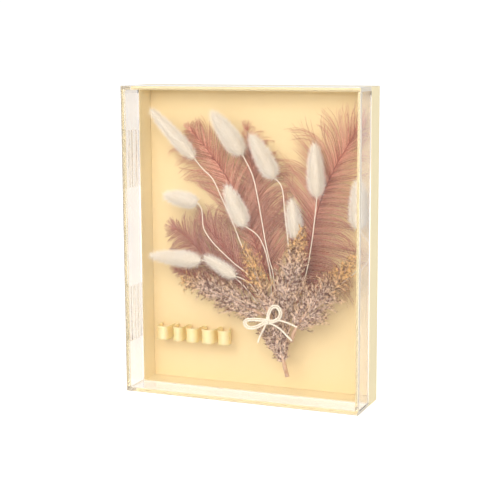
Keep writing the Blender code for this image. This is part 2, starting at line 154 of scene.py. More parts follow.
def smooth_route(points, count):
    """count points, evenly spaced, on a smooth curve through the given ones."""
    spots = [Vector(p) for p in points]
    fine = []
    last = len(spots) - 1
    for i in range(last):
        before, start = spots[max(i - 1, 0)], spots[i]
        end, after = spots[i + 1], spots[min(i + 2, last)]
        for step in range(CURVE_STEPS):
            t = step / CURVE_STEPS
            fine.append(0.5 * (2 * start + (end - before) * t
                               + (2 * before - 5 * start + 4 * end - after) * t ** 2
                               + (3 * start - before - 3 * end + after) * t ** 3))
    fine.append(spots[last])
    travelled = distances(fine)
    route = []
    j = 0
    for i in range(count):
        target = travelled[-1] * i / (count - 1)
        while j < len(fine) - 2 and travelled[j + 1] < target:
            j += 1
        span = travelled[j + 1] - travelled[j]
        route.append(fine[j].lerp(fine[j + 1], min(1.0, (target - travelled[j]) / span)))
    return route


def read_table(rows, s):
    """Straight-line values between rows of (s, value, value, ...)."""
    if s <= rows[0][0]:
        return rows[0][1:]
    for low, high in zip(rows, rows[1:]):
        if s <= high[0]:
            t = (s - low[0]) / (high[0] - low[0])
            return tuple(a + (b - a) * t for a, b in zip(low[1:], high[1:]))
    return rows[-1][1:]


def faces_between(bm, low, high):
    """A band of faces between two rings of as many vertices."""
    count = len(low)
    return [bm.faces.new((low[k], low[(k + 1) % count], high[(k + 1) % count], high[k]))
            for k in range(count)]


def tube_into(bm, centres, radii, sides):
    """Adds a round bar along a path to bm, with capped ends."""
    rings = []
    turn = None
    for i, centre in enumerate(centres):
        along = heading(centres, i)
        if turn is None:
            guide = BACKWARD if abs(along.y) < 0.9 else Vector((1, 0, 0))
            turn = along.cross(guide).normalized()
        turn = (turn - along * turn.dot(along)).normalized()
        other = along.cross(turn)
        ring = []
        for k in range(sides):
            angle = 2 * math.pi * k / sides
            offset = (turn * math.cos(angle) + other * math.sin(angle)) * radii[i]
            ring.append(bm.verts.new(centre + offset))
        rings.append(ring)
    made = [face for low, high in zip(rings, rings[1:])
            for face in faces_between(bm, low, high)]
    made.append(bm.faces.new(tuple(reversed(rings[0]))))
    made.append(bm.faces.new(rings[-1]))
    for face in made:
        face.smooth = True


def mesh_from(bm, name, *finishes):
    """A mesh with outward faces and its materials."""
    bmesh.ops.recalc_face_normals(bm, faces=bm.faces)
    mesh = bpy.data.meshes.new(name)
    bm.to_mesh(mesh)
    bm.free()
    for finish in finishes:
        mesh.materials.append(finish)
    return mesh


def scratch_object(name, data):
    """An object for a mesh, a lamp or a camera, linked to the scene."""
    made = bpy.data.objects.new(name, data)
    bpy.context.scene.collection.objects.link(made)
    return made


def finish_piece(node, meshes, slot):
    """Joins meshes in one piece that rides on the box and stands for a CAD node."""
    bm = bmesh.new()
    finishes = []
    for mesh in meshes:
        first = len(bm.faces)
        bm.from_mesh(mesh)
        bm.faces.ensure_lookup_table()
        for face in bm.faces[first:]:
            face.material_index += len(finishes)
        finishes.extend(mesh.materials)
        bpy.data.meshes.remove(mesh)
    joined = bpy.data.meshes.new("dressed_" + node)
    bm.to_mesh(joined)
    bm.free()
    for finish in finishes:
        joined.materials.append(finish)
    piece = scratch_object("dressed_" + node, joined)
    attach(piece, BODY)
    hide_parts(node)
    return piece


def grown(source, tree, values, name):
    """The plain mesh that a Geometry Nodes tree makes from a scratch object."""
    modifier = source.modifiers.new("grow", "NODES")
    modifier.node_group = tree
    for item in tree.interface.items_tree:
        if item.in_out == "INPUT" and item.name in values:
            modifier[item.identifier] = values[item.name]
    bpy.context.view_layer.update()
    graph = bpy.context.evaluated_depsgraph_get()
    mesh = bpy.data.meshes.new_from_object(
        source.evaluated_get(graph), preserve_all_data_layers=True, depsgraph=graph)
    mesh.name = name
    old = source.data
    bpy.data.objects.remove(source)
    bpy.data.meshes.remove(old)
    return mesh


def new_tree(name, inputs):
    """A Geometry Nodes tree with named inputs, its input sockets and output node."""
    tree = bpy.data.node_groups.new(name, "GeometryNodeTree")
    tree.interface.new_socket("Geometry", in_out="OUTPUT",
                              socket_type="NodeSocketGeometry")
    for label, kind, default in [("Geometry", "Geometry", None), *inputs]:
        socket = tree.interface.new_socket(label, in_out="INPUT",
                                           socket_type="NodeSocket" + kind)
        if default is not None:
            socket.default_value = default
    given = add_node(tree, "NodeGroupInput").outputs
    return tree, given, add_node(tree, "NodeGroupOutput")


def spike_object(sides, widest=0.0):
    """A slim solid one unit long on +Z, pointed at its end. It is widest at its
    foot, or part-way along, and then its foot is pointed as well."""
    bm = bmesh.new()
    tip = bm.verts.new((0, 0, 1))
    angles = [2 * math.pi * k / sides for k in range(sides)]
    ring = [bm.verts.new((0.5 * math.cos(a), 0.5 * math.sin(a), widest)) for a in angles]
    for k in range(sides):
        bm.faces.new((tip, ring[k], ring[(k + 1) % sides]))
    if widest:
        foot = bm.verts.new((0, 0, 0))
        for k in range(sides):
            bm.faces.new((foot, ring[(k + 1) % sides], ring[k]))
    else:
        bm.faces.new(tuple(reversed(ring)))
    return scratch_object("spike", mesh_from(bm, "spike"))


# Geometry Nodes trees


def set_solids(tree, points, solid, way, width, length):
    """A slim solid on each of the points, pointed one way, with its width and length."""
    shape = add_node(tree, "GeometryNodeObjectInfo", {"Object": solid})
    facing = add_node(tree, "FunctionNodeAlignRotationToVector", {"Vector": way},
                      axis="Z")
    scale = add_node(tree, "ShaderNodeCombineXYZ",
                     {"X": width, "Y": width, "Z": length})
    return add_node(tree, "GeometryNodeInstanceOnPoints",
                    {"Points": points, "Instance": shape.outputs["Geometry"],
                     "Rotation": facing, "Scale": scale})


def end_tree(tree, end, solids, finish, body):
    """Makes plain mesh of the solids, with their material, and adds the body."""
    plain = add_node(tree, "GeometryNodeRealizeInstances", {"Geometry": solids})
    plain = add_node(tree, "GeometryNodeSetMaterial",
                     {"Geometry": plain, "Material": finish})
    both = add_node(tree, "GeometryNodeJoinGeometry", {0: plain})
    feed(tree, both, {0: body})
    feed(tree, end, {0: both})
    return tree


def fringe_tree():
    """Stems along strands of edges, with slim sprigs set off along each of them."""
    tree, given, end = new_tree("fringed strands", [
        ("Stem Radius", "Float", 0.0003),
        ("Stem Sides", "Int", 3),
        ("Sprig", "Object", None),
        ("Spacing", "Float", 0.001),
        ("Sprig Length", "Float", 0.002),
        ("Sprig Width", "Float", 0.0002),
        ("Spread", "Float", 0.8),
        ("Depth Spread", "Float", 0.2),
        ("Tip Size", "Float", 0.4),
        ("Seed", "Int", 1),
        ("Stem Material", "Material", None),
        ("Sprig Material", "Material", None),
    ])
    add = partial(add_node, tree)
    size = add("GeometryNodeInputNamedAttribute", {"Name": "size"})
    reach = add("GeometryNodeInputNamedAttribute", {"Name": "reach"})
    strands = add("GeometryNodeMeshToCurve", {"Mesh": given["Geometry"]})
    profile = add("GeometryNodeCurvePrimitiveCircle",
                  {"Resolution": given["Stem Sides"], "Radius": given["Stem Radius"]})
    stems = add("GeometryNodeCurveToMesh", {"Curve": strands, "Profile Curve": profile,
                                            "Scale": size, "Fill Caps": True})
    stems = add("GeometryNodeSetMaterial",
                {"Geometry": stems, "Material": given["Stem Material"]})
    spots = add("GeometryNodeCurveToPoints",
                {"Curve": strands, "Length": given["Spacing"]}, mode="LENGTH")
    side = add("FunctionNodeRandomValue",
               {"Min_001": -1.0, "Max_001": 1.0, "Seed": given["Seed"]})
    side = add("ShaderNodeMath", {0: side.outputs[1]}, operation="SIGN")
    lean = add("FunctionNodeRandomValue",
               {"Min_001": 0.55, "Max_001": 1.25, "Seed": given["Seed"]}).outputs[1]
    across = add("ShaderNodeVectorMath", {0: spots.outputs["Tangent"], 1: BACKWARD},
                 operation="CROSS_PRODUCT")
    push = add("ShaderNodeMath", {0: side, 1: given["Spread"]}, operation="MULTIPLY")
    push = add("ShaderNodeMath", {0: push, 1: lean}, operation="MULTIPLY")
    across = add("ShaderNodeVectorMath", {0: across, "Scale": push}, operation="SCALE")
    way = add("ShaderNodeVectorMath", {0: spots.outputs["Tangent"], 1: across},
              operation="ADD")
    depth = add("FunctionNodeRandomValue",
                {"Min_001": -1.0, "Max_001": 1.0, "Seed": given["Seed"],
                 "ID": add("GeometryNodeInputIndex")})
    depth = add("ShaderNodeMath", {0: depth.outputs[1], 1: given["Depth Spread"]},
                operation="MULTIPLY")
    depth = add("ShaderNodeCombineXYZ", {"Y": depth})
    way = add("ShaderNodeVectorMath", {0: way, 1: depth}, operation="ADD")
    shrink = add("ShaderNodeMix", {"Factor_Float": reach, "A_Float": 1.0,
                                   "B_Float": given["Tip Size"]}, data_type="FLOAT")
    length = add("ShaderNodeMath", {0: given["Sprig Length"], 1: shrink},
                 operation="MULTIPLY")
    length = add("ShaderNodeMath", {0: length, 1: lean}, operation="MULTIPLY")
    sprigs = set_solids(tree, spots, given["Sprig"], way, given["Sprig Width"], length)
    return end_tree(tree, end, sprigs, given["Sprig Material"], stems)


def fur_tree():
    """Hairs over a closed body, leaning along one direction."""
    tree, given, end = new_tree("hairs on a head", [
        ("Hair", "Object", None),
        ("Density", "Float", 1000000.0),
        ("Hair Length", "Float", 0.004),
        ("Hair Width", "Float", 0.0002),
        ("Lean", "Vector", None),
        ("Ruffle", "Float", 0.3),
        ("Seed", "Int", 1),
        ("Body Material", "Material", None),
        ("Hair Material", "Material", None),
    ])
    add = partial(add_node, tree)
    body = add("GeometryNodeSetMaterial",
               {"Geometry": given["Geometry"], "Material": given["Body Material"]})
    spots = add("GeometryNodeDistributePointsOnFaces",
                {"Mesh": given["Geometry"], "Density": given["Density"],
                 "Seed": given["Seed"]})
    ruffle = add("FunctionNodeRandomValue",
                 {"Min": (-1.0, -1.0, -1.0), "Max": (1.0, 1.0, 1.0),
                  "Seed": given["Seed"]}, data_type="FLOAT_VECTOR")
    ruffle = add("ShaderNodeVectorMath", {0: ruffle, "Scale": given["Ruffle"]},
                 operation="SCALE")
    way = add("ShaderNodeVectorMath", {0: spots.outputs["Normal"], 1: given["Lean"]},
              operation="ADD")
    way = add("ShaderNodeVectorMath", {0: way, 1: ruffle}, operation="ADD")
    growth = add("FunctionNodeRandomValue",
                 {"Min_001": 0.6, "Max_001": 1.3, "Seed": given["Seed"]})
    length = add("ShaderNodeMath", {0: given["Hair Length"], 1: growth.outputs[1]},
                 operation="MULTIPLY")
    hairs = set_solids(tree, spots, given["Hair"], way, given["Hair Width"], length)
    tone = add("FunctionNodeRandomValue", {"Seed": given["Seed"]})
    hairs = add("GeometryNodeStoreNamedAttribute",
                {"Geometry": hairs, "Name": "tone", "Value": tone.outputs[1]},
                data_type="FLOAT", domain="INSTANCE")
    return end_tree(tree, end, hairs, given["Hair Material"], body)


class Strands:
    """Open chains of points. Each point has a size, its reach along the chain from 0
    to 1, the chain's tone, and a shade, which is how far it takes a second colour."""

    def __init__(self):
        self.points = []
        self.edges = []
        self.values = {"size": [], "reach": [], "tone": [], "shade": []}

    def add(self, route, sizes, tone, shade=0.0, tip_shade=0.0):
        first = len(self.points)
        for i, spot in enumerate(route):
            reach = i / (len(route) - 1)
            point = {"size": sizes[i], "reach": reach, "tone": tone,
                     "shade": min(1.0, shade + tip_shade * reach ** 2)}
            for key, value in point.items():
                self.values[key].append(value)
            self.points.append(spot)
            if i:
                self.edges.append((first + i - 1, first + i))

    def as_object(self, name):
        mesh = bpy.data.meshes.new(name)
        mesh.from_pydata(self.points, self.edges, [])
        for key, column in self.values.items():
            made = mesh.attributes.new(key, "FLOAT", "POINT")
            made.data.foreach_set("value", column)
        return scratch_object(name, mesh)


# Materials


ACRYLIC_IOR = 1.49
STREAK_FROM = 96.5
STREAK_PATCHES = ((191.0, 23.0), (64.0, 22.5))


def new_finish(name):
    """A material, its tree and its Principled shader."""
    made = bpy.data.materials.new(name)
    made.use_nodes = True
    return made, made.node_tree, made.node_tree.nodes["Principled BSDF"]


def toned(colour, share):
    """A colour made darker or lighter."""
    return tuple(min(1.0, c * share) for c in colour[:3]) + (1.0,)


def grain(tree, scale, detail=4.0, rough=0.6, stretch=(1.0, 1.0, 1.0)):
    """A fine random pattern on Object coordinates; scale is features per metre."""
    spot = add_node(tree, "ShaderNodeTexCoord")
    turned = add_node(tree, "ShaderNodeMapping",
                      {"Vector": spot.outputs["Object"], "Scale": stretch})
    return add_node(tree, "ShaderNodeTexNoise", {"Vector": turned, "Scale": scale,
                                                 "Detail": detail, "Roughness": rough})


def drifting(tree, first, second, *pattern):
    """A colour that drifts between two, with a random pattern."""
    return add_node(tree, "ShaderNodeMix",
                    {"Factor_Float": grain(tree, *pattern), "A_Color": first,
                     "B_Color": second}, data_type="RGBA").outputs[2]


def acrylic_finish(settings):
    """Cast acrylic sheet, polished, its walls bonded with clear cement: it is
    colourless across its thickness and faintly warm along its length. The cement
    streaks lie on the left wall in patches of (middle height, half the height)."""
    made, tree, shader = new_finish("cast acrylic sheet")
    add = partial(add_node, tree)
    spot = add("ShaderNodeTexCoord")
    split = add("ShaderNodeSeparateXYZ", {0: spot.outputs["Object"]})
    wall = add("ShaderNodeMath", {0: split.outputs["X"], 1: -STREAK_FROM * MM},
               operation="LESS_THAN")
    upper, lower = [
        add("ShaderNodeMath", {0: split.outputs["Z"], 1: middle * MM, 2: half * MM},
            operation="COMPARE") for middle, half in STREAK_PATCHES]
    patches = add("ShaderNodeMath", {0: upper, 1: lower}, operation="MAXIMUM")
    share = add("ShaderNodeMath", {0: wall, 1: patches}, operation="MULTIPLY")
    streaks = grain(tree, 700.0, 1.0, 0.5, (0.0, 1.0, 0.01))
    height = add("ShaderNodeMath", {0: streaks, 1: share}, operation="MULTIPLY")
    bump = add("ShaderNodeBump", {"Height": height, "Strength": 0.6, "Distance": 0.0008})
    feed(tree, shader, {"Base Color": settings.acrylic_colour,
                        "Transmission Weight": 1.0, "IOR": ACRYLIC_IOR,
                        "Roughness": settings.polish, "Normal": bump})
    return made


def sawn_and_lit_edge_finish(settings):
    """Sawn, unpolished end of an acrylic sheet: frosted, so it shows pale, and tinted
    cream as painted light, the tray's cream carried along the sheet.
    """
    made, tree, shader = new_finish("sawn acrylic edge")
    feed(tree, shader, {"Base Color": settings.sawn_and_lit_edge_colour, "Transmission Weight": 0.35,
                        "IOR": ACRYLIC_IOR, "Roughness": 0.45})
    return made


def tray_finish(settings):
    """Painted board, satin: an even cream coat with a faint roller texture."""
    made, tree, shader = new_finish("satin cream paint on board")
    cream = settings.tray_colour
    colour = drifting(tree, cream, toned(cream, 0.94), 18.0, 2.0)
    bump = add_node(tree, "ShaderNodeBump", {"Height": grain(tree, 900.0, 3.0),
                                             "Strength": 0.08, "Distance": 0.0002})
    feed(tree, shader, {"Base Color": colour, "Roughness": 0.42, "Normal": bump})
    return made


def paper_finish(settings):
    """Uncoated cream paper pasted on board: fine fibres and slight cloudiness."""
    made, tree, shader = new_finish("uncoated cream paper")
    fibre = grain(tree, 1400.0, 2.0, 0.5, (1.0, 1.0, 0.35))
    cream = settings.paper_colour
    colour = drifting(tree, cream, toned(cream, 1.04), 14.0, 3.0)
    bump = add_node(tree, "ShaderNodeBump",
                    {"Height": fibre, "Strength": 0.12, "Distance": 0.0001})
    feed(tree, shader, {"Base Color": colour, "Roughness": 0.88, "Normal": bump})
    return made


def barb_finish(name, dark, mid, light, foot, tip_share):
    """Dyed ostrich barbs: soft dull keratin, each barb dyed a little unevenly and
    bleached towards its tip, with painted shade, the foot colour, where the shade
    attribute says so."""
    made, tree, shader = new_finish(name)
    add = partial(add_node, tree)
    tone, reach, shade = [add("ShaderNodeAttribute", attribute_name=key).outputs["Fac"]
                          for key in ("tone", "reach", "shade")]
    lift = add("ShaderNodeMath", {0: reach, 1: tip_share}, operation="MULTIPLY")
    lift = add("ShaderNodeMath", {0: lift, 1: grain(tree, 45.0, 3.0)},
               operation="MULTIPLY", use_clamp=True)
    colour = dark
    for share, next_colour in ((tone, mid), (lift, light), (shade, foot)):
        colour = add("ShaderNodeMix", {"Factor_Float": share, "A_Color": colour,
                                       "B_Color": next_colour},
                     data_type="RGBA").outputs[2]
    feed(tree, shader, {"Base Color": colour, "Roughness": 0.65, "Sheen Weight": 0.25,
                        "Sheen Roughness": 0.4})
    return made


def quill_finish(name, colour, tip):
    """A feather's shaft: smooth keratin, darker than its dyed barbs."""
    made, tree, shader = new_finish(name)
    feed(tree, shader, {"Base Color": drifting(tree, colour, tip, 120.0, 3.0),
                        "Roughness": 0.4})
    return made


def plain_grown_finish(name, first, second, scale, roughness, sheen=0.0):
    """Dried plant matter: dull, with its colour drifting over a few millimetres."""
    made, tree, shader = new_finish(name)
    add = partial(add_node, tree)
    tone = add("ShaderNodeAttribute", attribute_name="tone")
    share = add("ShaderNodeMath",
                {0: tone.outputs["Fac"], 1: 0.5, 2: grain(tree, scale, 4.0)},
                operation="MULTIPLY_ADD", use_clamp=True)
    share = add("ShaderNodeMath", {0: share, 1: 0.25}, operation="SUBTRACT",
                use_clamp=True)
    colour = add("ShaderNodeMix", {"Factor_Float": share, "A_Color": first,
                                   "B_Color": second}, data_type="RGBA")
    feed(tree, shader, {"Base Color": colour.outputs[2], "Roughness": roughness,
                        "Sheen Weight": sheen})
    return made


def reed_finish(name, settings):
    """Dried reed spikelets: mauve grey down in the plume, golden at its tips. The
    shade attribute says which, and the tone attribute varies each branch."""
    made, tree, shader = new_finish(name)
    add = partial(add_node, tree)
    tone, shade = [add("ShaderNodeAttribute", attribute_name=key).outputs["Fac"]
                   for key in ("tone", "shade")]
    speck = add("ShaderNodeMapRange",
                {0: grain(tree, 420.0, 2.0), 1: 0.36, 2: 0.64, 3: -0.35, 4: 0.95})
    share = add("ShaderNodeMath", {0: tone, 1: 0.5, 2: speck},
                operation="MULTIPLY_ADD", use_clamp=True)
    mauve, gold = [
        add("ShaderNodeMix", {"Factor_Float": share, "A_Color": dark, "B_Color": light},
            data_type="RGBA").outputs[2]
        for dark, light in ((settings.mauve_dark, settings.mauve_light),
                            (settings.gold_dark, settings.gold_light))]
    colour = add("ShaderNodeMix", {"Factor_Float": shade, "A_Color": mauve,
                                   "B_Color": gold}, data_type="RGBA")
    feed(tree, shader, {"Base Color": colour.outputs[2], "Roughness": 0.75,
                        "Sheen Weight": 0.2})
    return made


def satin_finish(settings):
    """Woven satin ribbon: floating threads along it give a sharp stretched gloss
    across each bend. The thread lines are drawn wider than real ones to show."""
    made, tree, shader = new_finish("woven polyester satin")
    add = partial(add_node, tree)
    thread = add("ShaderNodeTexWave",
                 {"Vector": add("ShaderNodeUVMap", uv_map="weave"), "Scale": 12.0,
                  "Distortion": 0.4},
                 bands_direction="Y", wave_profile="SIN").outputs["Fac"]
    colour = add("ShaderNodeMix", {"Factor_Float": thread, "A_Color": settings.colour,
                                   "B_Color": toned(settings.colour, 0.93)},
                 data_type="RGBA")
    feed(tree, shader, {
        "Base Color": colour.outputs[2],
        "Roughness": 0.42,
        "Subsurface Weight": 0.6,
        "Subsurface Radius": (1.0, 0.75, 0.4),
        "Subsurface Scale": 0.001,
        "IOR": 1.9,
        "Specular IOR Level": 1.0,
        "Anisotropic": 0.9,
        "Anisotropic Rotation": 0.25,
        "Tangent": add("ShaderNodeTangent", direction_type="UV_MAP", uv_map="weave"),
        "Normal": add("ShaderNodeBump",
                      {"Height": thread, "Strength": 0.1, "Distance": 0.0001}),
    })
    return made


# Box: edge is the cut on its outer edges, and a face nearer to the outer surface
# than skin lies on it


BOX_WIDTH = 200.0
BOX_HEIGHT = 250.0
COVER_DEPTH = 26.8
WALL = 3.0
EDGE = 0.15
SKIN = 0.2


def cover_into(bm):
    """Five bonded sheets as one body: a pane at the front and four walls, open at
    the back. Its outer edges are only just eased, as polished acrylic is."""
    half = BOX_WIDTH / 2

    def ring(inset, depth):
        corners = ((-1, inset), (1, inset), (1, BOX_HEIGHT - inset),
                   (-1, BOX_HEIGHT - inset))
        return [bm.verts.new(place(side * (half - inset), depth, z))
                for side, z in corners]

    front, back = ring(0, 0), ring(0, COVER_DEPTH)
    rim, floor = ring(WALL, COVER_DEPTH), ring(WALL, WALL)
    for low, high in ((front, back), (back, rim), (rim, floor)):
        faces_between(bm, low, high)
    bm.faces.new(front)
    bm.faces.new(floor)
    outer = [edge for edge in bm.edges
             if all(vert in front or vert in back for vert in edge.verts)]
    bmesh.ops.bevel(bm, geom=outer, offset=EDGE * MM, segments=2, profile=0.5,
                    affect="EDGES")


def mark_sawn_and_lit_edges(bm):
    """Gives the rims of the cover's outer walls the second finish, frosted and painted
    with cream light, as wide as the sheets that end or stand behind them."""
    half = BOX_WIDTH / 2
    cuts = (((0, 0, WALL), (0, 0, 1)), ((0, 0, BOX_HEIGHT - WALL), (0, 0, 1)),
            ((WALL - half, 0, 0), (1, 0, 0)), ((half - WALL, 0, 0), (1, 0, 0)),
            ((0, FRONT + WALL, 0), (0, 1, 0)))
    for spot, across in cuts:
        bmesh.ops.bisect_plane(bm, geom=bm.verts[:] + bm.edges[:] + bm.faces[:],
                               plane_co=Vector(spot) * MM, plane_no=across)
    for face in bm.faces:
        middle = face.calc_center_median() / MM
        from_side = half - abs(middle.x)
        from_end = min(middle.z, BOX_HEIGHT - middle.z)
        on_wall = min(from_side, from_end) < SKIN
        on_rim = max(from_side, from_end) < WALL or middle.y < FRONT + WALL
        if on_wall and on_rim:
            face.material_index = 1


class BoxSettings(bpy.types.PropertyGroup):
    tray_colour: colour_setting("Tray", "Cream of the painted tray", "#F8E8BC")
    paper_colour: colour_setting("Paper", "Cream of the backing paper", "#F1DAA8")
    acrylic_colour: colour_setting("Acrylic", "Faint warmth of the sheet", "#F8F5F2")
    # Sawn edge: partly the frost of a sawn end, partly painted light, the tray's cream
    # carried along the sheet
    sawn_and_lit_edge_colour: colour_setting("Sawn edge", "Frosted end of a sheet", "#F6EDDD")
    polish: share_setting("Cover roughness", "Roughness of the clear cover", 0.01)


class FLOWERFRAME_OT_box(bpy.types.Operator):
    """Give the clear cover, the tray and the backing board their finishes"""

    bl_idname = "flowerframe.box"
    bl_label = "Box"

    def execute(self, context):
        settings = context.scene.flowerframe_box
        clear = acrylic_finish(settings)
        finishes = {"acrylic_cover": clear, "tray_frame": tray_finish(settings),
                    "backing_board": paper_finish(settings)}
        for node, finish in finishes.items():
            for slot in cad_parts[node].material_slots:
                slot.material = finish
        bm = bmesh.new()
        cover_into(bm)
        # The cover's rims get the frosted edge with its painted cream light
        mark_sawn_and_lit_edges(bm)
        mesh = mesh_from(bm, "cover", clear, sawn_and_lit_edge_finish(settings))
        cover = finish_piece("acrylic_cover", [mesh], "clear_acrylic")
        cover.visible_shadow = False
        return {"FINISHED"}


# Feathers
#
# A shaft is (x, z) from the tip to the cut end. Each side has rows of
# (place along the shaft from 0 to 1, barb length, angle off the shaft in degrees,
# further turn along the barb in degrees). Lane is the depth of the middle plane, dye
# the colours, tip the number of barbs that fan out from the shaft's end, foot_shade
# how far the barbs near the foot take the foot colour, painted shade where the
# bouquet crowds, foot_crowd how much closer the barbs stand there, and sparse how
# many times wider apart the first barbs stand.


FEATHERS = {
    "left": {
        "lane": 43.2, "dye": "rose", "tip": 22,
        "foot_shade": 0.15, "foot_crowd": 0.0,
        "slot": "feather_rose", "sparse": 1.0,
        "shaft": [(-57, 212), (-45, 199), (-34, 186), (-22, 168), (-8, 140),
                  (-1, 121), (9, 97), (17, 76)],
        "left_side": [(0.0, 9, 24, 10), (0.04, 16, 26, 12), (0.12, 32, 30, 12),
                      (0.3, 43, 34, 12), (0.5, 46, 37, 12), (0.7, 30, 34, 10),
                      (0.86, 14, 30, 5)],
        "right_side": [(0.0, 9, 16, 10), (0.04, 14, 22, 10), (0.12, 25, 30, 10),
                       (0.3, 34, 44, 8), (0.5, 36, 48, 6), (0.7, 34, 46, 4),
                       (0.86, 16, 36, 0)],
    },
    "centre": {
        "lane": 45.2, "dye": "rose", "tip": 10,
        "foot_shade": 0.15, "foot_crowd": 0.0,
        "slot": "feather_rose", "sparse": 4.0,
        "shaft": [(-9.5, 213), (-8.5, 204.5), (-6, 190), (-2.5, 170), (2.5, 146),
                  (7, 125.5), (12, 103), (17.5, 78)],
        "left_side": [(0.0, 9, 24, 8), (0.15, 16, 22, 12), (0.3, 24, 30, 14),
                      (0.5, 28, 40, 10), (0.75, 26, 42, 6), (0.88, 14, 36, 0)],
        "right_side": [(0.0, 9, 30, 10), (0.15, 22, 28, 22), (0.3, 30, 36, 20),
                       (0.5, 40, 46, 10), (0.75, 38, 46, 4), (0.88, 24, 36, 0)],
    },
    "right": {
        "lane": 41.2, "dye": "rose", "tip": 24,
        "foot_shade": 0.85, "foot_crowd": 0.4,
        "slot": "feather_rose", "sparse": 2.0,
        "shaft": [(83, 214), (81, 210.5), (74, 199), (65.5, 184), (55.5, 161),
                  (50.5, 145), (45.5, 123), (40, 98.5), (35, 76)],
        "left_side": [(0.0, 22, 20, 8), (0.12, 38, 30, 12), (0.3, 50, 40, 14),
                      (0.5, 52, 46, 12), (0.7, 44, 50, 6), (0.86, 18, 40, 0)],
        "right_side": [(0.0, 10, 12, 4), (0.12, 22, 16, 10), (0.3, 29, 46, 14),
                       (0.5, 37, 68, 12), (0.7, 45, 76, 10), (0.86, 42, 78, 8),
                       (0.95, 28, 72, 4)],
    },
    "left_middle": {
        "lane": 39.2, "dye": "mauve", "tip": 34,
        "foot_shade": 0.0, "foot_crowd": 0.0,
        "slot": "feather_rose", "sparse": 1.0,
        "shaft": [(-71.5, 131.5), (-64.5, 127), (-57.5, 121.5), (-50, 114.5),
                  (-44.5, 109), (-32, 100.5), (-14, 89.5), (3, 77)],
        "left_side": [(0.0, 10, 60, 6), (0.1, 19, 58, 6), (0.18, 24, 57, 6),
                      (0.3, 27, 54, 6), (0.5, 22, 42, 6), (0.88, 9, 30, 0)],
        "right_side": [(0.0, 10, 46, -4), (0.1, 16, 42, 0), (0.18, 23, 37, 2),
                       (0.3, 31, 36, 2), (0.4, 34, 37, 0), (0.6, 29, 34, 0),
                       (0.88, 10, 26, 0)],
    },
    "centre_left": {
        "lane": 37.2, "dye": "mauve", "tip": 12,
        "foot_shade": 0.1, "foot_crowd": 0.0,
        "slot": "feather_mauve", "sparse": 1.5,
        "shaft": [(-46, 139.5), (-38, 130.5), (-25.5, 116.5), (-13, 102), (1, 86.5),
                  (10, 75)],
        "left_side": [(0.0, 9, 20, 8), (0.2, 18, 30, 8), (0.5, 25, 34, 6),
                      (0.88, 10, 28, 0)],
        "right_side": [(0.0, 13, 24, 4), (0.2, 28, 32, 2), (0.5, 37, 34, -4),
                       (0.75, 31, 32, -4), (0.9, 14, 26, 0)],
    },
    # The low feather's darker dyes are partly its own colour and partly painted shade, as
    # it lies in shadow under the heads
    "low_left": {
        "lane": 35.2, "dye": "umber", "tip": 10,
        "foot_shade": 0.0, "foot_crowd": 0.0,
        "slot": "feather_mauve", "sparse": 1.5,
        "shaft": [(-68, 97.5), (-53, 93.5), (-35, 87), (-17.5, 79.5), (-2, 73)],
        "left_side": [(0.0, 7, 24, 10), (0.3, 12, 34, 8), (0.7, 12, 34, 4),
                      (0.9, 6, 30, 0)],
        "right_side": [(0.0, 8, 30, 10), (0.3, 15, 42, 6), (0.7, 17, 44, 2),
                       (0.9, 7, 34, 0)],
    },
}


FEATHER_SEED = 11
SHAFT_POINTS = 60
BARB_STEPS = 9
BARB_SIZES = [1.0 - 0.45 * (i / BARB_STEPS) for i in range(BARB_STEPS + 1)]
BUNDLE_TONES = (0.0, 0.45, 0.85)
LOCK_PULL = 0.42
# Painted shade starts this share of the way down the shaft and deepens towards the foot
FOOT_SHADE_FROM = 0.35
SPARSE_TO = 0.16


class FeatherSettings(bpy.types.PropertyGroup):
    rose_dark: colour_setting("Rose, dark", "Darkest barbs of the rose dye", "#CC765C")
    rose: colour_setting("Rose", "Middle of the rose dye", "#FFC8AE")
    rose_light: colour_setting("Rose, light", "Barb tips of the rose dye", "#FFDCBC")
    mauve_dark: colour_setting("Mauve, dark", "Darkest barbs of the mauve dye", "#A05646")
    mauve: colour_setting("Mauve", "Middle of the mauve dye", "#E8AC9C")
    mauve_light: colour_setting("Mauve, light", "Barb tips of the mauve dye", "#F8CBAC")
    rib: colour_setting("Barb rib", "The thin rib of each barb", "#824030")
    # Foot: painted shade, the darker, redder colour of barbs near a feather's foot, where
    # the bouquet crowds
    foot: colour_setting("Foot", "Deepest dye, at a feather's foot", "#94452F")
    quill: colour_setting("Quill", "The feathers' shafts", "#7C4036")
    barb_radius: length_setting("Barb radius", "Half the width of a barb's rib", 0.15)
    barb_step: length_setting("Barb step", "Distance between barbs on the shaft", 0.55)
    barbule: length_setting("Barbule length", "Length of the side hairs", 3.0)
    barbule_width: length_setting("Barbule width", "Width of a side hair", 0.30)
    barbule_step: length_setting("Barbule step", "Distance between side hairs", 0.95)


def barb_route(shaft, row, side, s, lean, draw, lane):
    """A barb's points from the shaft out; the barbs of one lock lean together."""
    length, angle, curl = row
    length *= draw.uniform(0.74, 1.1) * lean["length"]
    angle += draw.uniform(-2.0, 2.0) + lean["angle"]
    curl += lean["curl"] + draw.uniform(-4.0, 4.0)
    wave = draw.uniform(-0.5, 0.5)
    phase = draw.uniform(0, 2 * math.pi)
    lift = lean["lift"] + draw.uniform(-0.45, 0.45)
    last = len(shaft) - 1
    route = []
    for i in range(BARB_STEPS + 1):
        u = i / BARB_STEPS
        spot = (s + (lean["middle"] - s) * LOCK_PULL * u ** 1.5) * last
        k = max(0, min(int(spot), last - 1))
        root = shaft[k].lerp(shaft[k + 1], spot - k)
        along = -heading(shaft, k).lerp(heading(shaft, k + 1), spot - k).normalized()
        across = Vector((-along[1], along[0])) * side
        bend = math.radians(angle + curl * u + lean["hook"] * u ** 4)
        flat = root + (along * math.cos(bend) + across * math.sin(bend)) * length * u
        flat += along * (wave * math.sin(phase + 6.0 * u) * u)
        depth = lane - 0.4 * math.sin(math.pi * u) + lift * u * u
        route.append(place(flat[0], depth, flat[1]))
    return route


